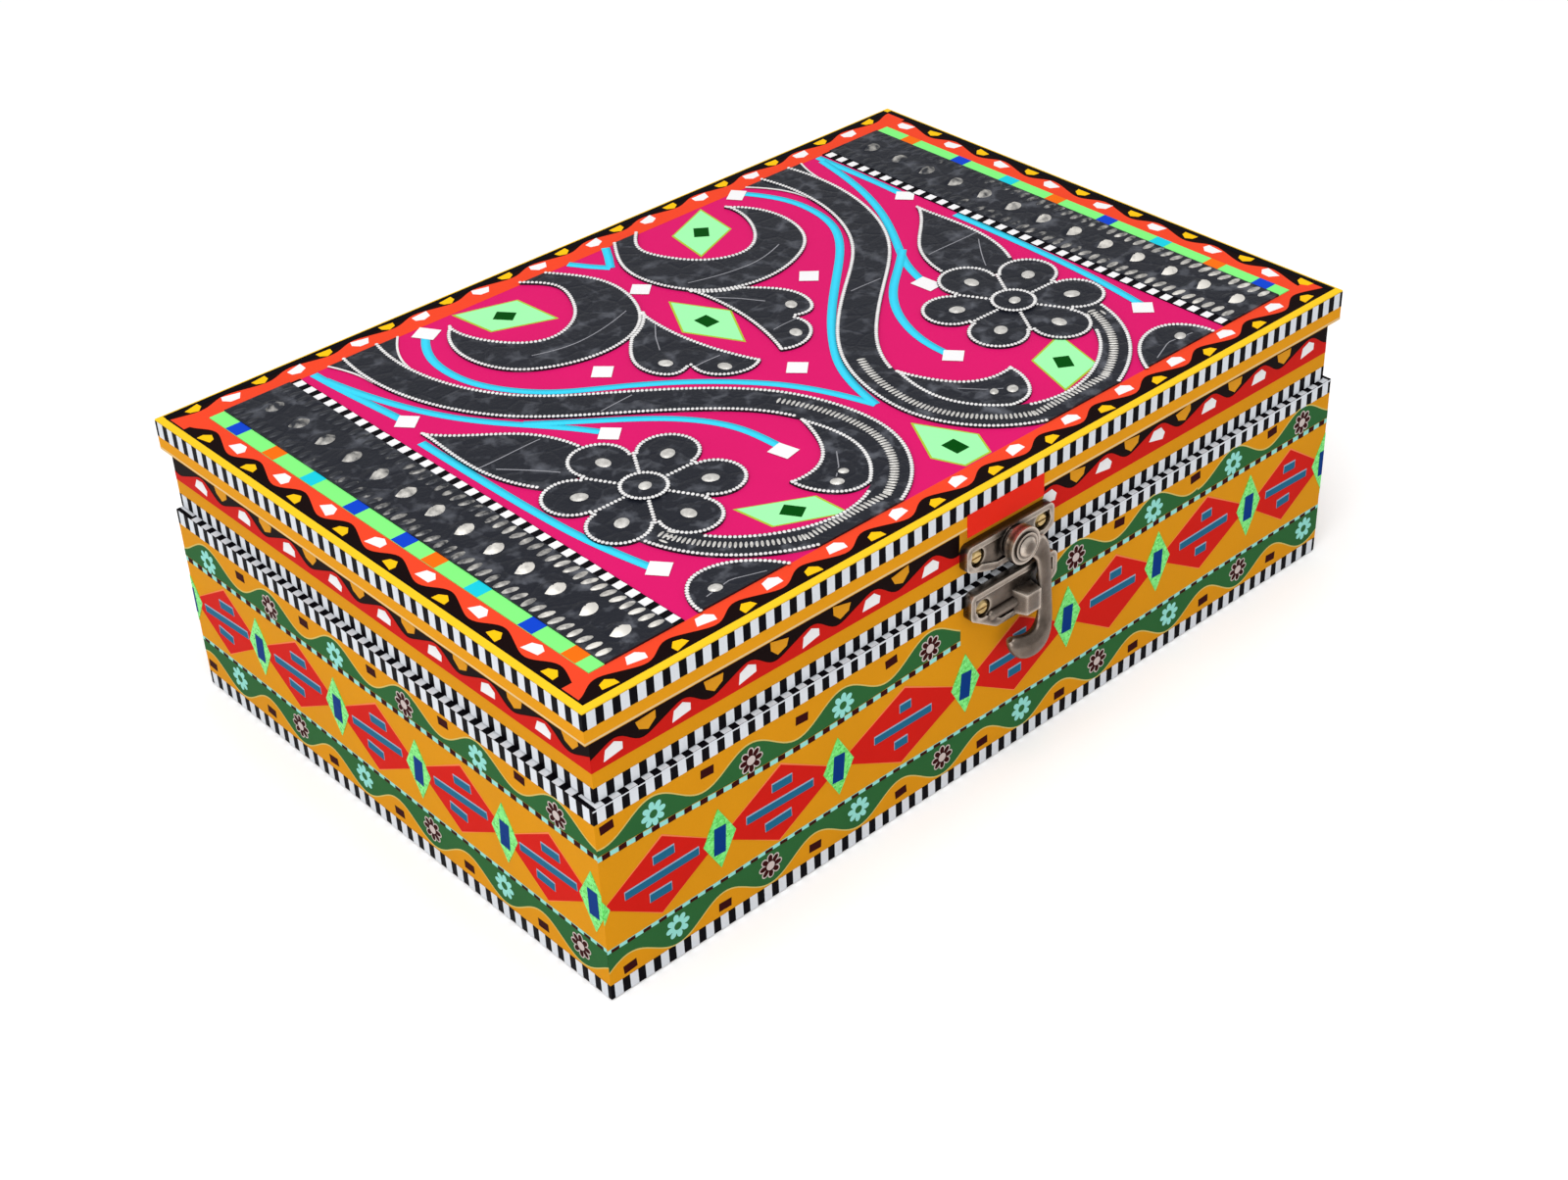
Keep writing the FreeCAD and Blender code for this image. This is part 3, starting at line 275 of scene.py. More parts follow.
# Stripe tapes: black reflective film along the foot and the rim of the base, with white
# bars across it. The tape at the rim is folded over the top edge of the walls.
def film(name, colour, mottle=0.10, rough=0.38, coat=0.0):
    """Printed sticker film: even colour with faint clouds, fine grain and soft gloss."""

    def printed(plan):
        cloud = plan.noise(55, 4)
        grain = plan.noise(2300, 2)
        light = 1.0 + (cloud - 0.5) * mottle + (grain - 0.5) * mottle * 0.6
        return {
            "Base Color": plan.shaded(colour[:3], light),
            "Roughness": rough + (cloud - 0.5) * 0.25,
            "Normal": plan.bump(grain * 0.4 + cloud, 0.03 * MM),
        }

    fixed = {"Coat Weight": coat, "Coat Roughness": 0.15, "Specular IOR Level": 0.012}
    return new_finish(name, fixed, printed)


BOW = ("Bow", "Bow Middle", "Bow Pitch")


def bowed(plan, along, want):
    """How far a tape that was not stuck on quite straight lies above its level."""
    turn = (along - want["Bow Middle"]) / want["Bow Pitch"] * math.tau
    return want["Bow"] * plan.node("ShaderNodeMath", {"operation": "COSINE"}, {0: turn})


def new_tree(name, inputs):
    """The plan of a tree of Geometry Nodes, and a wire for each of its inputs by name."""
    tree = bpy.data.node_groups.new(name, "GeometryNodeTree")
    for kind, names in {**inputs, "Material": ["Finish"]}.items():
        for each in names:
            tree.interface.new_socket(each, in_out="INPUT", socket_type="NodeSocket" + kind)
    tree.interface.new_socket("Geometry", in_out="OUTPUT", socket_type="NodeSocketGeometry")
    plan = Plan(tree)
    given = tree.nodes.new("NodeGroupInput")
    return plan, {socket.name: Wire(plan, socket) for socket in given.outputs if socket.name}


def end_tree(plan, shape, want):
    """Ends a tree: copies become real shapes and take their finish."""
    solid = plan.node("GeometryNodeRealizeInstances", None, {"Geometry": shape})
    sockets = {"Geometry": solid, "Material": want["Finish"]}
    done = plan.node("GeometryNodeSetMaterial", None, sockets)
    plan.tree.links.new(done.socket, plan.tree.nodes.new("NodeGroupOutput").inputs[0])
    return plan.tree


def row_plan():
    """A straight row of one cut shape, each copy leaning a little its own way."""
    lengths = ("Pitch", "First", "Height", "Lean", *BOW)
    plan, want = new_tree("film_row", {"Object": ["Shape"], "Int": ["Count", "Seed"], "Float": lengths})
    start = plan.vector({0: want["First"], 1: want["Height"]})
    step = plan.vector({0: want["Pitch"]})
    sockets = {"Count": want["Count"], "Start Location": start, "Offset": step}
    spots = plan.node("GeometryNodeMeshLine", {"mode": "OFFSET"}, sockets)
    along = plan.part(plan.node("GeometryNodeInputPosition"), 0)
    rise = plan.vector({1: bowed(plan, along, want)})
    spots = plan.node("GeometryNodeSetPosition", None, {"Geometry": spots, "Offset": rise})
    sockets = {2: 0.0 - want["Lean"], 3: want["Lean"], "Seed": want["Seed"]}
    lean = plan.node("FunctionNodeRandomValue", {"data_type": "FLOAT"}, sockets, 1)
    shape = plan.node("GeometryNodeObjectInfo", None, {"Object": want["Shape"]}, "Geometry")
    sockets = {"Points": spots, "Instance": shape, "Rotation": plan.vector({2: lean})}
    copies = plan.node("GeometryNodeInstanceOnPoints", None, sockets)
    return end_tree(plan, copies, want)


def grow(tree, sizes, mesh=None):
    """The plain mesh that a node tree makes from these sizes."""
    host = bpy.data.objects.new(tree.name, mesh or bpy.data.meshes.new(tree.name))
    bpy.context.scene.collection.objects.link(host)
    modifier = host.modifiers.new(tree.name, "NODES")
    modifier.node_group = tree
    for item in tree.interface.items_tree:
        if item.in_out == "INPUT" and item.name in sizes:
            modifier[item.identifier] = sizes[item.name]
    graph = bpy.context.evaluated_depsgraph_get()
    made = bpy.data.meshes.new_from_object(host.evaluated_get(graph), depsgraph=graph)
    host.modifiers.remove(modifier)
    bpy.data.objects.remove(host)
    return made


def cut_film(outline, thick, lift=0.0):
    """A flat piece of film inside an outline of points in millimetres."""
    count = len(outline)
    low = [(x * MM, y * MM, lift * MM) for x, y in outline]
    high = [(x * MM, y * MM, (lift + thick) * MM) for x, y in outline]
    faces = [tuple(range(count))[::-1], tuple(range(count, 2 * count))]
    for index in range(count):
        after = (index + 1) % count
        faces.append((index, after, count + after, count + index))
    mesh = bpy.data.meshes.new("cut_film")
    mesh.from_pydata(low + high, [], faces)
    return mesh


def as_shape(mesh):
    """A mesh as an unlinked object, to be copied along a row."""
    return bpy.data.objects.new("cut_shape", mesh)


def rectangle(width, height):
    """A rectangle about its middle, as an outline."""
    x, y = width / 2, height / 2
    return [(-x, -y), (x, -y), (x, y), (-x, y)]


def sides_of(node, level=None):
    """For each side of a tape: a matrix that puts a flat pattern on it, and the side's ends.

    The pattern stands on the wall, or lies flat at a level and is measured in from the edge.
    """
    low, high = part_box(node)
    upright = Matrix.Rotation(math.radians(90), 4, "X")
    sides = {}
    for name, turn, reach, start, end in (
        ("front", 0, -low.y, low.x, high.x),
        ("right", 90, high.x, low.y, high.y),
        ("back", 180, high.y, -high.x, -low.x),
        ("left", 270, -low.x, -high.y, -low.y),
    ):
        around = Matrix.Rotation(math.radians(turn), 4, "Z")
        place = around @ Matrix.Translation((0, -reach, level or 0.0))
        sides[name] = (place @ upright if level is None else place, start / MM, end / MM)
    return sides


film_row = row_plan()
STRAIGHT = (0.0, 0.0, 100.0)


def lay_row(shape, side, first, count, pitch, height, finish, lean=0.0, seed=1, bow=STRAIGHT):
    """A row of one shape on one side, in millimetres along the side and up it.

    A bow is its height, the place of its highest point and the length of its roll.
    """
    lengths = {"Pitch": pitch, "First": first, "Height": height, **dict(zip(BOW, bow))}
    sizes = {name: value * MM for name, value in lengths.items()}
    sizes |= {"Shape": shape, "Count": count, "Lean": math.radians(lean), "Seed": seed, "Finish": finish}
    mesh = grow(film_row, sizes)
    mesh.transform(side[0])
    return mesh


def fill_side(shape, side, pitch, height, finish, lean=0.0, trim=0.0, seed=1, bow=STRAIGHT):
    """A row that fills a side evenly from end to end."""
    start, end = side[1] + trim, side[2] - trim
    count = max(1, round((end - start) / pitch))
    pitch = (end - start) / count
    return lay_row(shape, side, start + pitch / 2, count, pitch, height, finish, lean, seed, bow)


def join(name, meshes, finish, body, smooth=None):
    """Several meshes of one finish as one piece, with all faces turned outwards."""
    whole = bmesh.new()
    for mesh in meshes:
        whole.from_mesh(mesh)
        bpy.data.meshes.remove(mesh)
    bmesh.ops.recalc_face_normals(whole, faces=whole.faces)
    mesh = bpy.data.meshes.new(name)
    whole.to_mesh(mesh)
    whole.free()
    return place_piece(name, mesh, finish, body, smooth)


STRIPE_PITCH = 4.55
BAR = 2.35
BAR_LEAN, FOLDED_BAR_LEAN = 1.2, 0.8
# How far a tape is folded over, where the bars on the fold are centred, and the film itself.
FOLD = 6.0
FOLD_MIDDLE = 3.1
FILM = 0.05
stripe_black = film("stripe_black", ink(12, 10, 15), 0.5, 0.30)
stripe_white = film("stripe_white", ink(222, 226, 232), 0.16, 0.26)
dress(stripe_black, "base_foot_stripe_tape", "base_rim_stripe_tape", "lid_rim_stripe_tape")


def bars(node, seed):
    """White bars up the four sides of a tape, over its whole height."""
    low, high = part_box(node)
    shape = as_shape(cut_film(rectangle(BAR, (high.z - low.z) / MM - 0.1), FILM))
    middle = (low.z + high.z) / 2 / MM
    return [
        fill_side(shape, side, STRIPE_PITCH, middle, stripe_white, BAR_LEAN, 0.0, seed + index)
        for index, side in enumerate(sides_of(node).values())
    ]


def folded_bars(node, level, length, over, seed):
    """White bars across a tape where it is folded over on to the edges of the walls."""
    shape = as_shape(cut_film(rectangle(BAR, length), FILM))
    middle = -FOLD_MIDDLE if over else FOLD_MIDDLE
    made = []
    for index, (name, (place, start, end)) in enumerate(sides_of(node, level).items()):
        side = (place @ Matrix.Rotation(math.pi, 4, "X") if over else place, start, end)
        trim = 0.0 if name in ("front", "back") else FOLD
        row = (STRIPE_PITCH, middle, stripe_white, FOLDED_BAR_LEAN, trim, seed + index)
        made.append(fill_side(shape, side, *row))
    return made


foot_bars = bars("base_foot_stripe_tape", 10)
rim_bars = bars("base_rim_stripe_tape", 20)
rim_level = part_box("base_rim_stripe_tape")[1].z
rim_bars += folded_bars("base_rim_stripe_tape", rim_level, FOLD + 0.1, False, 30)
join("base_stripe_bars", foot_bars + rim_bars, stripe_white, "base")


# Wave tapes of the base: amber film with a green wave printed along it, a small flower in
# each crest, a dark square in each trough, and a line of dashes along the straight edge.
WAVE_SIZES = ("Start", "End", "Crest", "Pitch", "Straight", "Middle", "Swing", "Thick")
WAVE_STEP = 1.1


def wave_plan():
    """A band of film with one straight edge and one edge that rolls up and down."""
    plan, want = new_tree("film_wave", {"Float": (*WAVE_SIZES, "Roll", *BOW), "Int": ["Steps"]})
    sockets = {"Size X": 1.0, "Size Y": 1.0, "Vertices X": want["Steps"], "Vertices Y": 2}
    grid = plan.node("GeometryNodeMeshGrid", None, sockets)
    spot = plan.node("GeometryNodeInputPosition")
    across = plan.part(spot, 0) + 0.5
    upper = plan.part(spot, 1) + 0.5
    along = want["Start"] + across * (want["End"] - want["Start"])
    turn = (along - want["Crest"]) / want["Pitch"] * math.tau
    swell = plan.node("ShaderNodeMath", {"operation": "COSINE"}, {0: turn})
    roll = plan.node("ShaderNodeMath", {"operation": "SINE"}, {0: turn * 2.0})
    edge = want["Middle"] + want["Swing"] * (swell + roll * want["Roll"])
    level = want["Straight"] + upper * (edge - want["Straight"]) + bowed(plan, along, want)
    moved = plan.vector({0: along, 1: level})
    flat = plan.node("GeometryNodeSetPosition", None, {"Geometry": grid, "Position": moved})
    up = plan.vector({2: want["Thick"]})
    sockets = {"Mesh": flat, "Offset": up, "Offset Scale": 1.0, "Individual": False}
    raised = plan.node("GeometryNodeExtrudeMesh", {"mode": "FACES"}, sockets)
    under = plan.node("GeometryNodeFlipFaces", None, {"Mesh": flat})
    both = plan.node("GeometryNodeJoinGeometry", None, {"Geometry": [raised, under]})
    closed = plan.node("GeometryNodeMergeByDistance", None, {"Geometry": both, "Distance": 1e-7})
    return end_tree(plan, closed, want)


film_wave = wave_plan()


def lay_wave(side, run, edges, finish, thick=FILM, roll=0.0, bow=STRAIGHT):
    """One run of tape on one side, from its straight edge to its rolling one.

    A run is its start, end, first crest and pitch, and its edges are the level of the straight
    edge, the middle level of the rolling one and how far that swings.
    """
    lengths = zip((*WAVE_SIZES, *BOW), (*run, *edges, thick, *bow))
    sizes = {name: value * MM for name, value in lengths}
    sizes |= {"Roll": roll, "Steps": max(8, round((run[1] - run[0]) / WAVE_STEP)), "Finish": finish}
    mesh = grow(film_wave, sizes)
    mesh.transform(side[0])
    return mesh


def round_shape(radius, lobes=0, depth=0.0, count=16):
    """A disc, or a flower with blunt lobes, as an outline."""
    points = []
    for index in range(count):
        turn = math.tau * index / count
        swell = (0.5 + 0.5 * math.cos(lobes * turn)) ** 0.35
        reach = radius * (1 - depth * (1 - swell))
        points.append((reach * math.cos(turn), reach * math.sin(turn)))
    return points


amber = film("amber_film", ink(219, 147, 22), 0.14, 0.42)
wave_green = film("wave_green", ink(46, 100, 54), 0.22, 0.45)
wave_line = film("wave_line", ink(212, 190, 108), 0.1, 0.5)
pale_cyan = film("pale_cyan", ink(150, 222, 212), 0.12, 0.4)
maroon = film("maroon_film", ink(54, 13, 14), 0.3, 0.45)
petal_rose = film("petal_rose", ink(205, 190, 186), 0.14, 0.42)
dress(amber, "base_lower_wave_tape", "base_upper_wave_tape", "base_diamond_tape", "lid_amber_band")

# The tapes end this far from the middle of the long and of the short walls.
LONG_END, SHORT_END = 126.8, 84.3
# Each run: side, its ends, the first crest, the pitch, which flower comes first, how much
# higher than the first run it was stuck on, and its bow.
UPPER_RUNS = (
    ("front", -LONG_END, -15.0, -110.8, 28.5, 0, 0.0, (1.0, -127.0, 118.0)),
    ("front", 17.0, 72.6, 25.8, 29.4, 1, 2.0, STRAIGHT),
    ("front", 72.6, LONG_END, 86.8, 28.7, 0, 2.0, STRAIGHT),
    ("left", -SHORT_END, SHORT_END, -72.3, 28.6, 0, 0.8, (0.8, 84.0, 340.0)),
    ("right", -SHORT_END, SHORT_END, -74.0, 28.6, 1, 1.2, STRAIGHT),
    ("back", -LONG_END, LONG_END, -114.0, 28.5, 0, 0.6, (0.6, 40.0, 190.0)),
)
LOWER_RUNS = (
    ("front", -LONG_END, LONG_END, -106.6, 28.43, 0, 0.0, (0.4, -50.0, 150.0)),
    ("left", -SHORT_END, SHORT_END, -67.4, 28.4, 0, 0.4, STRAIGHT),
    ("right", -SHORT_END, SHORT_END, -70.0, 28.4, 1, 0.2, STRAIGHT),
    ("back", -LONG_END, LONG_END, -112.0, 28.5, 1, 0.0, (0.4, 30.0, 170.0)),
)
# Along the front a thin pale line on the fold of the rim tape is a painted highlight, where its rounded
# edge catches the light.
fold_highlight = lay_wave(
    sides_of("base_rim_stripe_tape")["front"],
    (-LONG_END, LONG_END, -40.0, 130.0),
    (54.75, 55.12, 0.1),
    stripe_white,
    2 * FILM,
)
join("base_worn_fold", [fold_highlight], stripe_white, "base")
greens, lines, cyans, roses, reds, darks, hearts = [], [], [], [], [], [], []
cyan_flower = as_shape(cut_film(round_shape(3.5, 8, 0.45, 64), 2 * FILM))
cyan_heart = as_shape(cut_film(round_shape(1.1), 2.6 * FILM))
rose_edge = as_shape(cut_film(round_shape(3.6, 8, 0.3, 64), 1.6 * FILM))
rose_flower = as_shape(cut_film(round_shape(3.3, 8, 0.55, 64), 2 * FILM))
rose_heart = as_shape(cut_film(round_shape(1.25), 2.6 * FILM))
trough_square = as_shape(cut_film(rectangle(3.8, 2.35), FILM))
upper_dash = as_shape(cut_film(rectangle(2.2, 1.4), 2 * FILM))
lower_dash = as_shape(cut_film(rectangle(2.3, 0.9), 2 * FILM))
DASH_PITCH = 4.6
WAVE_LINE = 0.4
# The room that a flower keeps to the end of a run, and a square to its start and its end.
FLOWER_ROOM = 2.0
SQUARE_START_ROOM, SQUARE_END_ROOM = 2.5, 1.0
# Each tape: its runs, its edges as in lay_wave, the level of its flowers, and the level of its
# squares with how far past the trough they sit. Its dashes, their level and the edges of the
# cyan strip under them come with it.
UPPER_TAPE = ("base_upper_wave_tape", UPPER_RUNS, (41.3, 46.0, 3.2), 44.6, (48.0, 1.5))
LOWER_TAPE = ("base_lower_wave_tape", LOWER_RUNS, (14.3, 8.1, -3.2), 10.0, (7.1, 0.0))
for (node, runs, edges, eye, (square, aside)), dash, dash_level, strip in (
    (UPPER_TAPE, upper_dash, 40.45, (39.8, 41.1)),
    (LOWER_TAPE, lower_dash, 14.7, (14.3, 15.3)),
):
    sides = sides_of(node)
    for number, (name, start, end, crest, pitch, kind, lift, bow) in enumerate(runs):
        side = sides[name]
        run = (start, end, crest, pitch)
        straight, middle, swing = edges[0] + lift, edges[1] + lift, edges[2]
        greens.append(lay_wave(side, run, (straight, middle, swing), wave_green, FILM, 0.0, bow))
        outer = middle + math.copysign(WAVE_LINE, swing)
        lines.append(lay_wave(side, run, (straight, outer, swing), wave_line, 0.6 * FILM, 0.0, bow))
        count = int((end - FLOWER_ROOM - crest) / pitch) + 1
        for index in range(count):
            spot = (side, crest + index * pitch, 1, pitch, eye + lift)
            seed = number * 20 + index
            if (index + kind) % 2 == 0:
                cyans.append(lay_row(cyan_flower, *spot, pale_cyan, 12, seed, bow))
                hearts.append(lay_row(cyan_heart, *spot, wave_green, 0, 1, bow))
            else:
                roses.append(lay_row(rose_edge, *spot, petal_rose, 0, 1, bow))
                reds.append(lay_row(rose_flower, *spot, maroon, 0, 1, bow))
                roses.append(lay_row(rose_heart, *spot, petal_rose, 0, 1, bow))
        for index in range(count + 1):
            here = crest + (index - 0.5) * pitch + aside
            if start + SQUARE_START_ROOM < here < end - SQUARE_END_ROOM:
                spot = (side, here, 1, pitch, square + 0.6 * lift)
                darks.append(lay_row(trough_square, *spot, maroon, 7, number + index, bow))
        low, high = strip[0] + lift, strip[1] + lift
        cyans.append(lay_wave(side, run, (low, high, 0.0), pale_cyan, FILM, 0.0, bow))
        ends = (side[0], start, end)
        reds.append(fill_side(dash, ends, DASH_PITCH, dash_level + lift, maroon, 3.0, 0.0, number, bow))
join("base_wave_lines", lines, wave_line, "base")
join("base_green_waves", greens + hearts, wave_green, "base")
join("base_cyan_flowers", cyans, pale_cyan, "base")
join("base_rose_flowers", roses, petal_rose, "base")
join("base_dark_marks", reds + darks, maroon, "base")


# Diamond tape of the base: red diamonds with three blue bars each, and a fluorescent green
# lozenge with a blue slip in every gap, all cut from film and stuck on the amber tape.
def diamond(half_width, half_height, lean):
    """A diamond whose upper corner leans along its side and whose lower corner leans back."""
    return [(-half_width, 0.0), (-lean, -half_height), (half_width, 0.0), (lean, half_height)]


def cut_diamond(half_width, half_height, start, end):
    """An upright diamond that is cut off at a start and an end along its side."""

    def tall(x):
        return half_height * (1 - abs(x) / half_width)

    low, high = max(start, -half_width), min(end, half_width)
    stops = sorted({low, min(max(0.0, low), high), high})
    upper = [(x, tall(x)) for x in reversed(stops) if tall(x) > 0.001]
    return [(x, -tall(x)) for x in stops] + upper


def slip(width, height, tilt):
    """A rectangle turned by some degrees."""
    across, up = math.cos(math.radians(tilt)), math.sin(math.radians(tilt))
    return [(x * across - y * up, x * up + y * across) for x, y in rectangle(width, height)]


def laid(mesh, x, y, level, turn=0.0):
    """A mesh moved to a place in millimetres at a level, and turned by some degrees."""
    place = Matrix.Translation((x * MM, y * MM, level))
    mesh.transform(place @ Matrix.Rotation(math.radians(turn), 4, "Z"))
    return mesh


def shapes_on(side, spots, outline_of, thick):
    """Shapes of different sizes at given spots along one side."""
    made = []
    for along, height, *sizes in spots:
        mesh = laid(cut_film(outline_of(*sizes), thick), along, height, 0.0)
        mesh.transform(side[0])
        made.append(mesh)
    return made


# Where the green lozenges sit along each side. The diamonds fill the room between them.
GREEN_SPOTS = {
    "front": (-92.8, -55.8, -13.3, 23.3, 57.7, 94.7),
    "left": (-52.7, -18.2, 15.7, 49.3),
    "right": (-50.0, -15.8, 18.0, 51.5),
    "back": (-91.0, -54.6, -18.2, 18.2, 54.6, 91.0),
}
diamond_red = film("diamond_red", ink(208, 30, 22), 0.12, 0.4)
diamond_line = film("diamond_line", ink(240, 130, 80), 0.1, 0.45)
bar_blue = film("bar_blue", ink(32, 102, 136), 0.18, 0.35)
bar_line = film("bar_line", ink(150, 178, 200), 0.12, 0.35)
slip_blue = film("slip_blue", ink(5, 55, 128), 0.2, 0.3)


def glitter(plan):
    """Fluorescent film with a fine prismatic grid."""
    flake = plan.node("ShaderNodeTexVoronoi", None, {"Vector": plan.place(), "Scale": 1500.0}, "Color")
    spark = plan.node("ShaderNodeSeparateColor", None, {0: flake})
    return {
        "Base Color": plan.mix(spark, ink(48, 200, 44), ink(118, 246, 122)),
        "Roughness": 0.22 + spark * 0.25,
        "Normal": plan.bump(spark, 0.05 * MM),
    }


lozenge_green = new_finish("lozenge_green", {"Coat Weight": 0.3}, glitter)
# How far past the start and the end of each side the lozenge at that corner is centred.
CORNER_SHIFT = {"front": (-3.0, 0.0), "left": (-1.0, -3.0), "right": (0.0, 0.0), "back": (0.0, -1.0)}
# For each side: how far the diamonds lean, the tilt of their bars, and how much the lozenges at
# its corners rise along it.
SET = {
    "front": (0.8, -0.6, 0.0135),
    "left": (1.5, 3.0, 0.0),
    "right": (0.6, 1.5, 0.0),
    "back": (0.4, 0.0, 0.0),
}
# Each diamond on the front: its height, and the lengths of its upper, middle and lower bar.
FRONT_DIAMONDS = (
    (27.1, 6.0, 21.4, 6.2),
    (26.9, 6.0, 20.6, 8.0),
    (27.4, 3.6, 18.9, 4.2),
    (28.0, 4.4, 19.5, 4.4),
    (28.8, 4.2, 17.0, 0.0),
    (29.9, 3.8, 19.0, 4.2),
    (29.1, 4.6, 17.3, 5.0),
)
# Each lozenge on the front: its height, and how far it reaches up and down.
FRONT_LOZENGES = ((27.3, 8.6), (27.0, 8.5), (28.5, 8.8), (29.8, 9.4), (29.8, 9.3), (29.9, 9.6))
# The bars on the other sides, and half the height of a diamond and of the line round it.
OTHER_BARS = (6.4, 20.6, 6.4)
DIAMOND_REACH, DIAMOND_LINE_REACH = 10.7, 11.1
# Half the width and height of a lozenge, and the slip on it, which sits a little low.
LOZENGE = (4.9, 8.9)
SLIP_WIDTH, SLIP_HEIGHT, SLIP_DROP = 3.5, 7.7, 0.5
NARROWEST_SLIP = 0.5
BAND_MIDDLE = 28.1
UNCUT = 99.0
reds, edges, blues, pales, lozenges, slips = [], [], [], [], [], []
for name, side in sides_of("base_diamond_tape").items():
    gaps = GREEN_SPOTS[name]
    lean, tilt, rise = SET[name]
    first, last = side[1] + CORNER_SHIFT[name][0], side[2] + CORNER_SHIFT[name][1]
    middles = (first, *gaps, last)
    for index, (before, after) in enumerate(zip(middles, middles[1:])):
        before, after = max(before, side[1]), min(after, side[2])
        middle, half = (before + after) / 2, (after - before) / 2
        level = BAND_MIDDLE + 0.4 * math.sin(3.1 * index + len(gaps))
        upper, wide, lower = OTHER_BARS
        if name == "front":
            level, upper, wide, lower = FRONT_DIAMONDS[index]
        reds += shapes_on(side, [(middle, level, half, DIAMOND_REACH, lean)], diamond, 2 * FILM)
        # Painted highlight: a pale line under each diamond, set a little higher, shows along its upper
        # edges.
        edges += shapes_on(side, [(middle, level + 0.1, half, DIAMOND_LINE_REACH, lean)], diamond, FILM)
        turned = tilt + 1.5 * math.sin(2.7 * index + 1.0)
        bars_here = [
            (middle, level + 0.2, wide, 2.0, turned),
            (middle + lean, level + 5.2, upper, 2.2, turned),
        ]
        if lower:
            bars_here.append((middle - lean, level - 4.8, lower, 2.2, -turned))
        blues += shapes_on(side, bars_here, slip, 4 * FILM)
        # Painted highlight: a pale rim under each bar, set higher, shows only along its upper edge.
        rims = [(x, z + 0.2, w + 0.3, h + 0.4, turn) for x, z, w, h, turn in bars_here]
        pales += shapes_on(side, rims, slip, 3 * FILM)
    for index, gap in enumerate(gaps):
        level, tall = BAND_MIDDLE - 0.2 + 0.4 * math.sin(2.3 * index + 1.0), LOZENGE[1]
        if name == "front":
            level, tall = FRONT_LOZENGES[index]
        lozenges += shapes_on(side, [(gap, level, LOZENGE[0], tall, 0.0)], diamond, 3 * FILM)
        spot = (gap, level - SLIP_DROP, SLIP_WIDTH, SLIP_HEIGHT, -4.0 - 2.0 * math.sin(index))
        slips += shapes_on(side, [spot], slip, 4 * FILM)
    for here, low, high in ((first, side[1] - first, UNCUT), (last, -UNCUT, side[2] - last)):
        level = BAND_MIDDLE - 0.2 + rise * here
        lozenges += shapes_on(side, [(here, level, *LOZENGE, low, high)], cut_diamond, 3 * FILM)
        low, high = max(low, -SLIP_WIDTH / 2), min(high, SLIP_WIDTH / 2)
        if high - low > NARROWEST_SLIP:
            spot = (here + (low + high) / 2, level - SLIP_DROP, high - low, SLIP_HEIGHT)
            slips += shapes_on(side, [spot], rectangle, 4 * FILM)
join("base_diamond_lines", edges, diamond_line, "base")
join("base_red_diamonds", reds, diamond_red, "base")
join("base_bar_lines", pales, bar_line, "base")
join("base_blue_bars", blues, bar_blue, "base")
join("base_green_lozenges", lozenges, lozenge_green, "base")
join("base_blue_slips", slips, slip_blue, "base")


# Tapes of the lid walls: a striped tape folded under the edge, an amber band, and a black
# tape with a red wave, white chips on its crests and amber chips in its troughs.
lid_bars = bars("lid_rim_stripe_tape", 40)
under_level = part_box("lid_rim_stripe_tape")[0].z
lid_bars += folded_bars("lid_rim_stripe_tape", under_level, FOLD, True, 50)

tape_black = film("tape_black", ink(24, 12, 12), 0.5, 0.4)
wave_red = film("wave_red", ink(206, 30, 24), 0.14, 0.4)
chip_white = film("chip_white", ink(242, 241, 242), 0.08, 0.35)
chip_amber = film("chip_amber", ink(226, 154, 34), 0.12, 0.38)
cream_line = film("cream_line", ink(226, 196, 140), 0.1, 0.45)
dress(tape_black, "lid_wave_tape")
WHITE_CHIP = [(-2.8, -1.5), (2.5, -1.6), (2.9, 0.2), (1.0, 1.8), (-1.7, 1.2)]
AMBER_CHIP = [(-2.7, 1.8), (-2.1, -0.5), (0.2, -2.0), (2.6, -0.4), (2.9, 1.6)]
CHIP_LEAN = 14
WHITE_LEVEL, AMBER_LEVEL = 66.9, 69.0
# The room that a white chip keeps to the start and the end of a run, and an amber one to both.
WHITE_START_ROOM, WHITE_END_ROOM, AMBER_ROOM = 1.5, 2.0, 2.5
LID_WAVE_MIDDLE, LID_WAVE_SWING, LID_WAVE_ROLL = 67.6, 1.9, 0.16
LID_LONG_END, LID_SHORT_END = 125.0, 82.9
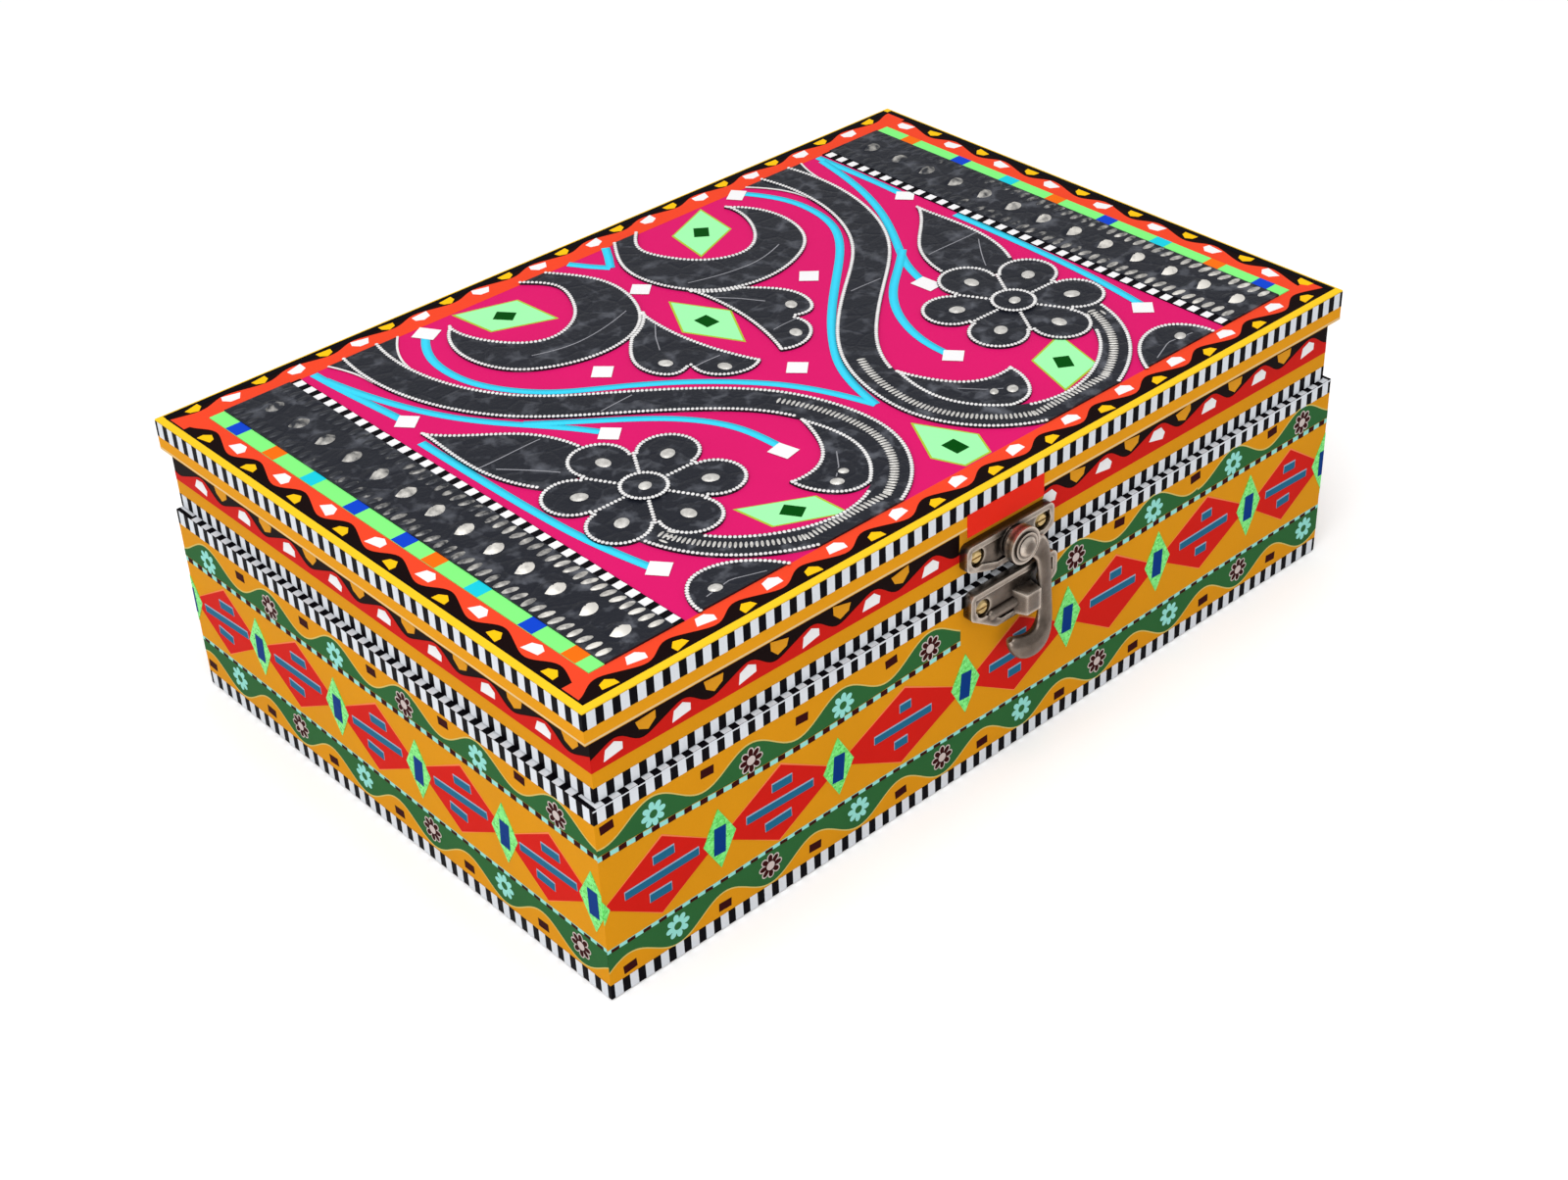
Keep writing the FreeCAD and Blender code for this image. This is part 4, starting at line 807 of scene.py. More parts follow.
# Each run: side, its ends, the first crest, the pitch, and how much higher it was stuck on.
LID_RUNS = (
    ("front", -LID_LONG_END, -14.0, -119.1, 19.06, 0.0),
    ("front", 14.8, LID_LONG_END, 16.6, 20.0, 1.0),
    ("left", -SHORT_END, LID_SHORT_END, -71.6, 19.75, 0.0),
    ("right", -LID_SHORT_END, SHORT_END, -71.0, 19.5, 0.5),
    ("back", -LID_LONG_END, LID_LONG_END, -117.0, 19.5, 0.2),
)
reds, whites, ambers, creams = [], [], [], []
white_chip = as_shape(cut_film(WHITE_CHIP, 2 * FILM))
amber_chip = as_shape(cut_film(AMBER_CHIP, 2 * FILM))
sides = sides_of("lid_wave_tape")
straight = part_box("lid_wave_tape")[0].z / MM
for number, (name, start, end, crest, pitch, lift) in enumerate(LID_RUNS):
    side = sides[name]
    run = (start, end, crest, pitch)
    edges = (straight, LID_WAVE_MIDDLE + lift, LID_WAVE_SWING)
    reds.append(lay_wave(side, run, edges, wave_red, FILM, LID_WAVE_ROLL))
    first = crest if crest > start + WHITE_START_ROOM else crest + pitch
    count = int((end - WHITE_END_ROOM - first) / pitch) + 1
    row = (side, first, count, pitch, WHITE_LEVEL + lift)
    whites.append(lay_row(white_chip, *row, chip_white, CHIP_LEAN, number))
    troughs = [crest + (index + 0.5) * pitch for index in range(count + 1)]
    troughs = [here for here in troughs if start + AMBER_ROOM < here < end - AMBER_ROOM]
    row = (side, troughs[0], len(troughs), pitch, AMBER_LEVEL + 0.5 * lift)
    ambers.append(lay_row(amber_chip, *row, chip_amber, CHIP_LEAN, 7 + number))
# A plain amber piece between the two runs on the front, behind the latch.
BEHIND_WIDE, BEHIND_MIDDLE = 28.8, 0.4
low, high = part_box("lid_wave_tape")
behind = as_shape(cut_film(rectangle(BEHIND_WIDE, (high.z - low.z) / MM), FILM))
level = (low.z + high.z) / 2 / MM
ambers.append(lay_row(behind, sides["front"], BEHIND_MIDDLE, 1, 1.0, level, chip_amber))
join("lid_red_waves", reds, wave_red, "lid")


# Lid panel: one tape round its edge, yellow where it returns on to the top, with a striped
# line and an amber line below, and a border tape with a red wave inside it on the top. The
# yellow is partly the tape's own tone and partly painted light from above.
LIT_YELLOW_FROM = 80.0 * MM


def edge_tape(plan):
    """Yellow on the top and along the upper edge, amber below; the yellow is partly painted light from
    above.
    """
    cloud = plan.noise(60, 4)
    grain = plan.noise(2300, 2)
    # Partly painted light: the tape is made yellow above this level, where light from above falls on it.
    upper = plan.part(plan.place(), 2) > LIT_YELLOW_FROM
    colour = plan.mix(upper, ink(228, 154, 26), ink(252, 202, 40))
    return {
        "Base Color": plan.shaded(colour, 0.95 + cloud * 0.12),
        "Roughness": 0.3 + cloud * 0.2,
        "Normal": plan.bump(grain * 0.4 + cloud, 0.03 * MM),
    }


edge_film = new_finish("edge_film", {"Specular IOR Level": 0.012}, edge_tape)
dress(edge_film, "lid_edge_tape")


def lay_strip(side, wide, level, finish, trim=0.0):
    """One strip of film along a whole side, or short of both of its ends by a trim."""
    place, start, end = side
    strip = as_shape(cut_film(rectangle(end - start - 2 * trim, wide), FILM))
    return lay_row(strip, side, (start + end) / 2, 1, 1.0, level, finish)


LINE_LOW, LINE_HIGH = 77.2, 81.55
line_wide, line_level = LINE_HIGH - LINE_LOW, (LINE_LOW + LINE_HIGH) / 2
CREAM_WIDE, CREAM_LEVEL = 0.5, 73.75
EDGE_RETURN = 2.5
edge_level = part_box("lid_edge_tape")[1].z
# The border tape laps over the yellow by this much on each side.
LAP = {"front": 0.4, "right": 2.0, "back": 2.0, "left": 0.5}
blacks = []
edge_bar = as_shape(cut_film(rectangle(BAR, line_wide), FILM, FILM))
for index, side in enumerate(sides_of("lid_edge_tape").values()):
    blacks.append(lay_strip(side, line_wide, line_level, stripe_black))
    creams.append(lay_strip(side, CREAM_WIDE, CREAM_LEVEL, cream_line))
    lid_bars.append(fill_side(edge_bar, side, STRIPE_PITCH, line_level, stripe_white, 1.0, 0.0, 60 + index))
for name, side in sides_of("lid_edge_tape", edge_level).items():
    wide = LAP[name]
    blacks.append(lay_strip(side, wide, EDGE_RETURN - wide / 2, stripe_black, EDGE_RETURN - 0.4))
join("lid_edge_line", blacks, stripe_black, "lid")
join("lid_stripe_bars", lid_bars, stripe_white, "lid")

border_red = film("border_red", ink(240, 72, 42), 0.12, 0.36)
chip_yellow = film("chip_yellow", ink(255, 196, 20), 0.1, 0.35)
dress(tape_black, "lid_border_tape")
border_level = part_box("lid_border_tape")[1].z
border_waves, yellows = [], []
BORDER_WIDE, BORDER_PITCH, BORDER_ROLL = 7.3, 19.5, 0.12
TOP_WHITE_ROOM, TOP_YELLOW_ROOM = 1.5, 2.0
TOP_WHITE = [(-2.6, -1.4), (2.4, -1.5), (2.7, 0.4), (0.9, 1.8), (-1.6, 1.3)]
TOP_YELLOW = [(-2.1, -1.2), (2.2, -1.1), (1.9, 0.5), (0.1, 1.7), (-1.8, 0.6)]
top_white = as_shape(cut_film(TOP_WHITE, 2 * FILM))
top_yellow = as_shape(cut_film(TOP_YELLOW, 2 * FILM))
# For each side: the first crest, the middle of the wave, its swing, and where its chips are.
BORDER_RUNS = {
    "front": (-107.1, 3.2, -1.7, 4.7, 1.7),
    "left": (-57.5, 3.2, -1.7, 4.7, 1.7),
    "right": (-65.2, 2.2, -1.4, 3.2, 0.9),
    "back": (-106.5, 1.4, -1.1, 2.6, 0.6),
}
for number, (name, side) in enumerate(sides_of("lid_border_tape", border_level).items()):
    trim = 0.0 if name in ("front", "back") else BORDER_WIDE
    start, end = side[1] + trim, side[2] - trim
    crest, middle, swing, white_level, yellow_level = BORDER_RUNS[name]
    run = (start, end, crest, BORDER_PITCH)
    edges = (BORDER_WIDE, middle, swing)
    border_waves.append(lay_wave(side, run, edges, border_red, FILM, BORDER_ROLL))
    first = crest if crest - BORDER_PITCH < start + TOP_WHITE_ROOM else crest - BORDER_PITCH
    count = int((end - TOP_WHITE_ROOM - first) / BORDER_PITCH) + 1
    row = (side, first, count, BORDER_PITCH, white_level)
    whites.append(lay_row(top_white, *row, chip_white, 18, 80 + number))
    first = crest - BORDER_PITCH / 2
    while first - BORDER_PITCH > start + TOP_YELLOW_ROOM:
        first -= BORDER_PITCH
    count = int((end - TOP_YELLOW_ROOM - first) / BORDER_PITCH) + 1
    row = (side, first, count, BORDER_PITCH, yellow_level)
    yellows.append(lay_row(top_yellow, *row, chip_yellow, 16, 90 + number))
join("lid_border_waves", border_waves, border_red, "lid")
join("lid_white_chips", whites, chip_white, "lid")
join("lid_amber_chips", ambers, chip_amber, "lid")
join("lid_yellow_chips", yellows, chip_yellow, "lid")
join("lid_cream_lines", creams, cream_line, "lid")


# Field of the lid: one sheet of magenta film, with chequer strips and dashed strips across
# both ends. The colours of the chequers are short slips stuck on pale green.
field_film = film("field_magenta", ink(218, 26, 106), 0.10, 0.34, 0.03)
chequer_green = film("chequer_green", ink(132, 244, 128), 0.10, 0.35)
dash_black = film("dash_black", ink(16, 14, 18), 0.4, 0.35)
dress(field_film, "lid_field_film")
dress(chequer_green, "left_chequer_strip", "right_chequer_strip")
dress(dash_black, "left_dashed_strip", "right_dashed_strip")
# Each colour of the chequers, and where its slips are along the strips at both ends.
CHEQUER_SLIP = 5.0
CHEQUERS = (
    ("chequer_blue", ink(20, 70, 205), (65, 14.2, -5.4, -52.9), (42.5, -13.7, -67.9)),
    ("chequer_orange", ink(245, 112, 20), (48.8, -17, -67.9), (63, 5.5, -51.6)),
    ("chequer_cyan", ink(30, 205, 225), (32.2, -33.2), (23.3, -32.9)),
)
for name, colour, *ends in CHEQUERS:
    slip_finish = film(name, colour, 0.1, 0.34)
    slips = []
    for end, spots in zip(("left", "right"), ends):
        low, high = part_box(f"{end}_chequer_strip")
        for spot in spots:
            mesh = cut_film(rectangle((high.x - low.x) / MM, CHEQUER_SLIP), FILM)
            slips.append(laid(mesh, (low.x + high.x) / 2 / MM, spot, high.z))
    join("lid_" + name + "_slips", slips, slip_finish, "lid")


def across_lid(node, level):
    """A strip across one end of the lid, as a side on which a pattern lies at a level."""
    low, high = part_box(node)
    place = Matrix.Translation(((low.x + high.x) / 2, 0, level))
    return place @ Matrix.Rotation(math.pi / 2, 4, "Z"), low.y / MM, high.y / MM


dashes = []
dash_shape = as_shape(cut_film(rectangle(2.4, 2.75), FILM))
for node in ("left_dashed_strip", "right_dashed_strip"):
    strip = across_lid(node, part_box(node)[1].z)
    dashes.append(fill_side(dash_shape, strip, STRIPE_PITCH, 0.0, chip_white, 3.0, 0.0, 3))
join("lid_white_dashes", dashes, chip_white, "lid")


# Film ornaments of the field: cyan lines that curve between the foil, white squares at
# their ends, and pale green lozenges with a dark green slip in the middle, all stuck on.
def ribbon_plan():
    """A flat ribbon of film that follows a curve."""
    plan, want = new_tree("film_ribbon", {"Geometry": ["Geometry"], "Float": ["Width", "Thick", "Step"]})
    path = plan.node("GeometryNodeMeshToCurve", None, {"Mesh": want["Geometry"]})
    path = plan.node("GeometryNodeCurveSplineType", {"spline_type": "NURBS"}, {"Curve": path})
    sockets = {"Curve": path, "Length": want["Step"]}
    path = plan.node("GeometryNodeResampleCurve", {"mode": "LENGTH"}, sockets)
    path = plan.node("GeometryNodeSetCurveNormal", {"mode": "Z_UP"}, {"Curve": path})
    sockets = {"Width": want["Width"], "Height": want["Thick"]}
    section = plan.node("GeometryNodeCurvePrimitiveQuadrilateral", {"mode": "RECTANGLE"}, sockets)
    sockets = {"Curve": path, "Profile Curve": section, "Fill Caps": True}
    body = plan.node("GeometryNodeCurveToMesh", None, sockets)
    return end_tree(plan, body, want)


film_ribbon = ribbon_plan()


def ribbon(points, level, width, thick, step, finish):
    """A ribbon along some points at a level, with its sizes in millimetres."""
    path = bpy.data.meshes.new("ribbon_path")
    spots = [(x * MM, y * MM, level) for x, y in points]
    path.from_pydata(spots, [(index, index + 1) for index in range(len(spots) - 1)], [])
    sizes = {"Width": width * MM, "Thick": thick * MM, "Step": step * MM, "Finish": finish}
    return grow(film_ribbon, sizes, path)


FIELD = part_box("lid_field_film")[1].z
LINE_WIDTH = 2.4
line_cyan = film("line_cyan", ink(62, 212, 244), 0.08, 0.34)
# Cyan lines: the points that each one bends along.
LINES = (
    ((-87.0, 74.6), (-86.6, 62.0), (-85.2, 50.0), (-84.4, 40.0)),
    ((-86.6, 70.0), (-85.0, 60.0), (-79.6, 39.6), (-70.3, 23.0), (-61.5, 11.8), (-57.0, 5.5), (-53.8, 0.0)),
    ((-64.6, 16.4), (-55.6, 8.4), (-46.0, 0.6), (-35.0, -10.0), (-28.6, -22.0))
    + ((-28.0, -30.0), (-27.9, -37.5)),
    ((-87.4, 27.2), (-87.5, 8.0), (-87.2, -20.0), (-86.0, -38.0), (-82.6, -54.6)),
    ((-53.6, 72.0), (-61.0, 64.0), (-63.6, 50.0), (-60.2, 36.0), (-50.6, 22.6), (-38.5, 15.0))
    + ((-25.0, 5.0), (-12.0, -8.2), (-2.6, -22.5), (1.8, -39.0)),
    ((-4.2, 75.0), (-1.2, 70.0), (2.5, 64.8)),
    ((88.9, 74.6), (89.0, 62.0), (89.2, 50.0), (88.6, 40.0)),
    ((88.0, 72.0), (85.4, 58.0), (80.2, 42.0), (71.6, 26.6), (62.6, 13.8), (58.2, 7.0), (55.6, -1.0)),
    ((64.5, 15.0), (57.4, 8.8), (47.6, 2.2), (38.6, -8.2), (33.2, -20.0), (31.8, -28.0), (31.9, -34.5)),
    ((89.7, 19.5), (89.7, 4.0), (89.3, -17.0), (87.8, -37.0), (85.2, -52.6)),
    ((58.2, 72.0), (63.8, 63.0), (65.0, 51.0), (61.8, 38.0), (53.0, 27.0), (41.0, 16.4))
    + ((25.6, 2.4), (13.6, -11.0), (5.0, -23.8), (1.8, -39.0)),
    ((9.0, 75.0), (6.0, 70.0), (2.5, 64.8)),
)
# Each line lies this much above the one before it, so that they lap where they cross.
LAPPED = 0.006
ribbons = []
for number, points in enumerate(LINES):
    level = FIELD + (FILM + LAPPED * number) * MM
    ribbons.append(ribbon(points, level, LINE_WIDTH, 2 * FILM, 1.5, line_cyan))
join("lid_cyan_lines", ribbons, line_cyan, "lid")

# White squares: place, width, height and turn.
SQUARES = (
    (-54.4, 71.0, 5.4, 6.2, 30),
    (55.7, 73.2, 6.0, 4.6, 35),
    (0.1, 49.2, 5.4, 5.2, 42),
    (-84.1, 37.8, 5.4, 5.2, 40),
    (88.3, 38.0, 5.0, 5.2, 40),
    (-35.0, 22.1, 5.5, 5.2, 44),
    (36.3, 22.1, 5.5, 5.2, 46),
    (-52.8, -2.6, 5.4, 5.2, 42),
    (54.8, -3.9, 5.0, 7.0, 4),
    (0.6, -11.9, 5.4, 5.3, 43),
    (-28.8, -38.8, 5.0, 6.0, 12),
    (32.1, -35.9, 5.3, 5.3, 40),
    (-81.9, -55.8, 5.4, 5.4, 38),
    (84.1, -53.7, 5.4, 5.4, 46),
)
squares = [
    laid(cut_film(slip(width, height, turn), FILM, 3.5 * FILM), x, y, FIELD)
    for x, y, width, height, turn in SQUARES
]
join("lid_white_squares", squares, chip_white, "lid")

lozenge_pale = film("lozenge_pale", ink(162, 250, 174), 0.08, 0.34)
lozenge_edge = film("lozenge_edge", ink(176, 196, 56), 0.1, 0.4)
lozenge_heart = film("lozenge_heart", ink(4, 76, 14), 0.2, 0.4)
# Pale lozenges: their corners, and the turn of the slip in the middle.
LOZENGES = (
    ([(-43.7, 74.6), (-42.0, 59.6), (-25.0, 52.6), (-26.2, 68.8)], 38),
    ([(43.0, 74.2), (26.3, 67.2), (23.8, 51.8), (40.8, 58.5)], -38),
    ([(1.0, 38.8), (-7.5, 23.3), (0.6, 7.5), (9.3, 23.0)], 0),
    ([(-54.2, -49.2), (-52.8, -61.2), (-36.2, -69.5), (-36.7, -58.7)], 32),
    ([(59.0, -47.4), (44.0, -51.6), (38.8, -67.9), (54.2, -64.8)], -32),
    ([(1.6, -51.2), (-6.7, -66.2), (-3.4, -74.6), (5.4, -74.6), (9.3, -66.7)], 0),
)
INNER_SHARE = 0.93
LOZENGE_HEART = (4.2, 5.4)
pales, rims, hearts = [], [], []
for corners, turn in LOZENGES:
    middle_x = sum(x for x, y in corners) / len(corners)
    middle_y = sum(y for x, y in corners) / len(corners)
    inner = [
        (middle_x + (x - middle_x) * INNER_SHARE, middle_y + (y - middle_y) * INNER_SHARE)
        for x, y in corners
    ]
    rims.append(laid(cut_film(corners, FILM), 0, 0, FIELD))
    pales.append(laid(cut_film(inner, 2 * FILM), 0, 0, FIELD))
    heart = cut_film(rectangle(*LOZENGE_HEART), 3 * FILM)
    hearts.append(laid(heart, middle_x, middle_y, FIELD, turn))
join("lid_lozenge_edges", rims, lozenge_edge, "lid")
join("lid_pale_lozenges", pales, lozenge_pale, "lid")
join("lid_lozenge_hearts", hearts, lozenge_heart, "lid")


# Foil ornaments: dark embossed metal foil cut into flowers, scrolls and leaves, and two
# bands across the ends. The edges are pressed into rows of pale beads, and bosses are
# pushed up from behind and rubbed bright, their bright crowns also a painted highlight.
NEAR_FRONT = 20 * MM


def crumpled(plan):
    """Dark foil with shallow dents, fine creases and worn patches, and a painted sheen that makes it
    lighter towards the front.
    """
    dent = plan.noise(170, 5)
    fine = plan.noise(1100, 3)
    sockets = {"Vector": plan.place(), "Scale": 150.0}
    crease = plan.node("ShaderNodeTexVoronoi", {"feature": "DISTANCE_TO_EDGE"}, sockets)
    fold = 1.0 - plan.clamp(crease * 9.0)
    # Painted sheen: the foil is made lighter towards the front of the lid, on top of its worn patches.
    near = plan.clamp((0.0 - plan.part(plan.place(), 1) - NEAR_FRONT) * 9.0)
    wear_and_sheen = plan.clamp((dent - 0.54) * (3.0 + near * 4.0) + fold * 0.22)
    return {
        "Base Color": plan.mix(wear_and_sheen, ink(27, 30, 40), ink(106, 109, 118)),
        "Roughness": 0.34 + fine * 0.2,
        "Normal": plan.bump(dent + fine * 0.25 - fold * 0.25, 0.5 * MM, 0.8),
    }


dark_foil = new_finish("dark_foil", {"Metallic": 0.3, "Specular IOR Level": 0.25}, crumpled)
FOILS = (
    "foil_flowers",
    "foil_scrolls",
    "foil_crescents",
    "foil_palmettes",
    "foil_inner_leaves",
    "foil_leaves",
    "foil_corner_leaves",
)
dress(dark_foil, *FOILS, "left_foil_band", "right_foil_band")


def rubbed(plan):
    """Bosses and ticks rubbed to bright metal; on the boss crowns it is also a painted highlight."""
    wear = plan.noise(700, 4)
    return {
        "Base Color": plan.mix(wear, ink(140, 136, 130), ink(255, 253, 248)),
        "Roughness": 0.3 + wear * 0.25,
        "Normal": plan.bump(wear, 0.08 * MM),
    }


def beaten(plan):
    """Pale beads along the edges of the foil."""
    wear = plan.noise(500, 3)
    return {
        "Base Color": plan.mix(wear, ink(200, 198, 198), ink(255, 254, 252)),
        "Roughness": 0.35 + wear * 0.2,
    }


bead_metal = new_finish("bead_metal", {"Metallic": 0.0}, beaten)
boss_metal = new_finish("boss_metal", {"Metallic": 0.35}, rubbed)


def dome(long, wide, high, around=8):
    """A small raised bead with an oval foot, in millimetres."""
    points, faces = [], []
    for level, reach in ((0.0, 1.0), (0.6, 0.8), (0.95, 0.4)):
        for index in range(around):
            turn = math.tau * index / around
            x, y = long / 2 * reach * math.cos(turn), wide / 2 * reach * math.sin(turn)
            points.append((x * MM, y * MM, high * level * MM))
    for ring in range(2):
        for index in range(around):
            after = (index + 1) % around
            low, high_ring = ring * around, (ring + 1) * around
            faces.append((low + index, low + after, high_ring + after, high_ring + index))
    faces.append(tuple(range(around))[::-1])
    faces.append(tuple(range(2 * around, 3 * around)))
    mesh = bpy.data.meshes.new("dome")
    mesh.from_pydata(points, [], faces)
    return mesh


def merged(node):
    """A copy of a CAD node's loose triangles, joined to one skin."""
    shape = bmesh.new()
    shape.from_mesh(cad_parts[node].data)
    bmesh.ops.remove_doubles(shape, verts=shape.verts, dist=0.002 * MM)
    return shape


def foil_outline(node, wanted=None):
    """The edges of a foil's upper faces, each point with the way into the foil.

    A test of an edge's middle and the way into the foil can leave edges out.
    """
    shape = merged(node)
    tops = {face for face in shape.faces if face.normal.z > 0.9}
    inward, edges = {}, []
    for edge in shape.edges:
        mine = [face for face in edge.link_faces if face in tops]
        if len(mine) != 1:
            continue
        run = (edge.verts[1].co - edge.verts[0].co).normalized()
        side = Vector((-run.y, run.x, 0))
        if side.dot(mine[0].calc_center_median() - edge.verts[0].co) < 0:
            side = -side
        if wanted and not wanted((edge.verts[0].co + edge.verts[1].co) / 2, side):
            continue
        for vert in edge.verts:
            inward[vert] = inward.get(vert, Vector()) + side
        edges.append(edge)
    order = {vert: index for index, vert in enumerate(inward)}
    mesh = bpy.data.meshes.new(node + "_outline")
    links = [(order[edge.verts[0]], order[edge.verts[1]]) for edge in edges]
    mesh.from_pydata([vert.co.copy() for vert in order], links, [])
    way = mesh.attributes.new("inward", "FLOAT_VECTOR", "POINT")
    for vert, index in order.items():
        way.data[index].vector = inward[vert].normalized()
    shape.free()
    return mesh


def bead_plan():
    """A row of beads along an outline, a little way in from it."""
    inputs = {"Geometry": ["Geometry"], "Object": ["Bead"], "Float": ["Pitch", "Inset"]}
    plan, want = new_tree("foil_beads", inputs)
    path = plan.node("GeometryNodeMeshToCurve", None, {"Mesh": want["Geometry"]})
    sockets = {"Curve": path, "Length": want["Pitch"]}
    path = plan.node("GeometryNodeResampleCurve", {"mode": "LENGTH"}, sockets)
    way = plan.node("GeometryNodeInputNamedAttribute", {"data_type": "FLOAT_VECTOR"}, {"Name": "inward"})
    step = plan.node("ShaderNodeVectorMath", {"operation": "SCALE"}, {0: way, "Scale": want["Inset"]})
    path = plan.node("GeometryNodeSetPosition", None, {"Geometry": path, "Offset": step})
    bead = plan.node("GeometryNodeObjectInfo", None, {"Object": want["Bead"]}, "Geometry")
    axes = {"primary_axis": "X", "secondary_axis": "Z"}
    turn = plan.node("FunctionNodeAxesToRotation", axes, {0: way, 1: (0.0, 0.0, 1.0)})
    sockets = {"Points": path, "Instance": bead, "Rotation": turn}
    copies = plan.node("GeometryNodeInstanceOnPoints", None, sockets)
    return end_tree(plan, copies, want)


# The flowers: how far a petal reaches, how round its end is, and how far out the foot of the
# petals and the slits between them end.
FLOWER_REACH = 24.8
PETAL_ROUND = 8.14
FOOT_REACH, SLIT_REACH = 9.0 * MM, 15.5 * MM
flower_low, flower_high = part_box("foil_flowers")
flower_y = (flower_low.y + flower_high.y) / 2 / MM
flower_x = flower_high.x / MM - PETAL_ROUND - (FLOWER_REACH - PETAL_ROUND) * math.cos(math.radians(30))
covered_front, covered_back = (corner.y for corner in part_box("foil_scrolls"))


def clear_of_border(middle, inward):
    """False along the straight cuts that the border tape covers."""
    return covered_front + 0.1 * MM < middle.y < covered_back - 0.1 * MM


upper_spots = [
    vertex.co.copy()
    for node in ("foil_flowers", "foil_inner_leaves")
    for vertex in foil_outline(node).vertices
]
upper_foils = KDTree(len(upper_spots))
for index, spot in enumerate(upper_spots):
    upper_foils.insert(spot, index)
upper_foils.balance()


def open_edge(middle, inward):
    """False also where a flower or an inner leaf lies against the edge and has beads of its own."""
    return clear_of_border(middle, inward) and upper_foils.find(middle)[2] > 1.5 * MM


def flower_part(middle, inward):
    """Which part of a flower's outline an edge is: rim, foot, or the left or right side of a petal."""
    spot = middle - Vector((math.copysign(flower_x * MM, middle.x), flower_y * MM, middle.z))
    aside = math.degrees(math.atan2(spot.y, spot.x)) % 60 - 30
    if spot.length < FOOT_REACH and inward.dot(spot.normalized()) > 0.6:
        return "foot"
    if spot.length < SLIT_REACH and abs(aside) > 26 and abs(inward.dot(spot.normalized())) < 0.6:
        return "left" if aside > 0 else "right"
    return "rim"


foil_beads = bead_plan()
bead = as_shape(dome(1.12, 0.95, 0.26))
beads = []
for node, wanted, inset in (
    ("foil_flowers", lambda middle, inward: flower_part(middle, inward) == "rim", 0.52),
    ("foil_flowers", lambda middle, inward: flower_part(middle, inward) == "left", -0.15),
    ("foil_inner_leaves", clear_of_border, 0.5),
    *((node, open_edge, 0.5) for node in FOILS if node not in ("foil_flowers", "foil_inner_leaves")),
):
    sizes = {"Bead": bead, "Pitch": 1.1 * MM, "Inset": inset * MM, "Finish": bead_metal}
    beads.append(grow(foil_beads, sizes, foil_outline(node, wanted)))

# Feet of the scrolls: slips of the same foil that fan out on both sides of each scroll where
# the border tape covers its end. Each one: its tip, where it meets the tape, and its back.
FEET = ((-79.0, 59.5, -82.4, -75.0), (-68.4, 57.0, -60.7, -71.0))
foot_end = covered_back / MM
foot_thick = 0.6 * (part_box("foil_scrolls")[1].z - FIELD) / MM
feet = []
for tip_x, tip_y, end_x, back_x in FEET:
    for sign in (1, -1):
        bend = [(step / 8) ** 2 for step in range(9)]
        edge = [
            (sign * (tip_x + (end_x - tip_x) * share), tip_y + (foot_end - tip_y) * math.sqrt(share))
            for share in bend
        ]
        outline = edge + [(sign * back_x, foot_end), (sign * back_x, tip_y)]
        if sign * (end_x - back_x) < 0:
            outline.reverse()
        feet.append(laid(cut_film(outline, foot_thick), 0, 0, FIELD))
        beads.append(ribbon(edge, FIELD + foot_thick * MM, 0.6, 0.12, 1.0, bead_metal))
join("foil_scroll_feet", feet, dark_foil, "lid")
join("foil_edge_beads", beads, bead_metal, "lid", 1.0)

# Pressed marks in the foil: ticks along the front curls, bosses on the petals, lobes and
# leaves, and on each end band a row of bosses between two rows of slanting dashes.
CURL_X, CURL_Y = 36.0 * MM, -42.0 * MM


def facing_curl(middle, inward):
    """How squarely the way into the foil points at the middle of the nearer curl."""
    return inward.dot(Vector((math.copysign(CURL_X, middle.x), CURL_Y, middle.z)) - middle)


tick = as_shape(dome(2.6, 0.8, 0.18))
TICK_INSET = 4.6 * MM
TICK_CLEAR = 21.0 * MM


def in_curl(middle, inward):
    """True for the outer edges of the front curls whose ticks land clear of the flower."""
    landing = middle + inward * TICK_INSET
    from_flower = landing - Vector((math.copysign(flower_x * MM, landing.x), flower_y * MM, landing.z))
    outer = middle.y < -NEAR_FRONT and facing_curl(middle, inward) > 0
    return outer and from_flower.length > TICK_CLEAR


curl = foil_outline("foil_scrolls", in_curl)
sizes = {"Bead": tick, "Pitch": 1.35 * MM, "Inset": TICK_INSET, "Finish": boss_metal}
join("foil_scroll_ticks", [grow(foil_beads, sizes, curl)], boss_metal, "lid", 1.0)

# Creases and embossed lines: a fold across the foil of the whole lid, veins in the leaves
# and a line along each crescent.
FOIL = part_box("foil_leaves")[1].z
CREASES = (
    ((-86.0, 7.0), (-79.0, 6.6), (-72.0, 7.3), (-66.6, 7.0)),
    ((-48.0, 6.6), (-42.0, 7.0), (-37.6, 7.2)),
    ((-18.2, 6.6), (-13.0, 6.7), (-9.2, 6.4)),
    ((-82.5, 3.6), (-78.6, -0.6), (-74.6, -5.6), (-72.6, -8.6)),
    ((-42.8, 41.1), (-35.0, 37.9), (-26.4, 37.5), (-16.4, 40.0), (-10.7, 42.1)),
    ((-10.4, 30.6), (-14.6, 25.4), (-18.2, 19.5)),
    ((-30.0, -58.0), (-25.0, -54.0), (-20.6, -48.6)),
    ((-82.0, -72.0), (-74.0, -70.8), (-66.0, -74.0)),
)
crease_metal = film("crease_metal", ink(150, 150, 156), 0.8, 0.4)
creases = [
    ribbon([(sign * x, y) for x, y in points], FOIL, 0.3, 0.1, 1.5, crease_metal)
    for points in CREASES
    for sign in (1, -1)
]
join("foil_creases", creases, crease_metal, "lid")

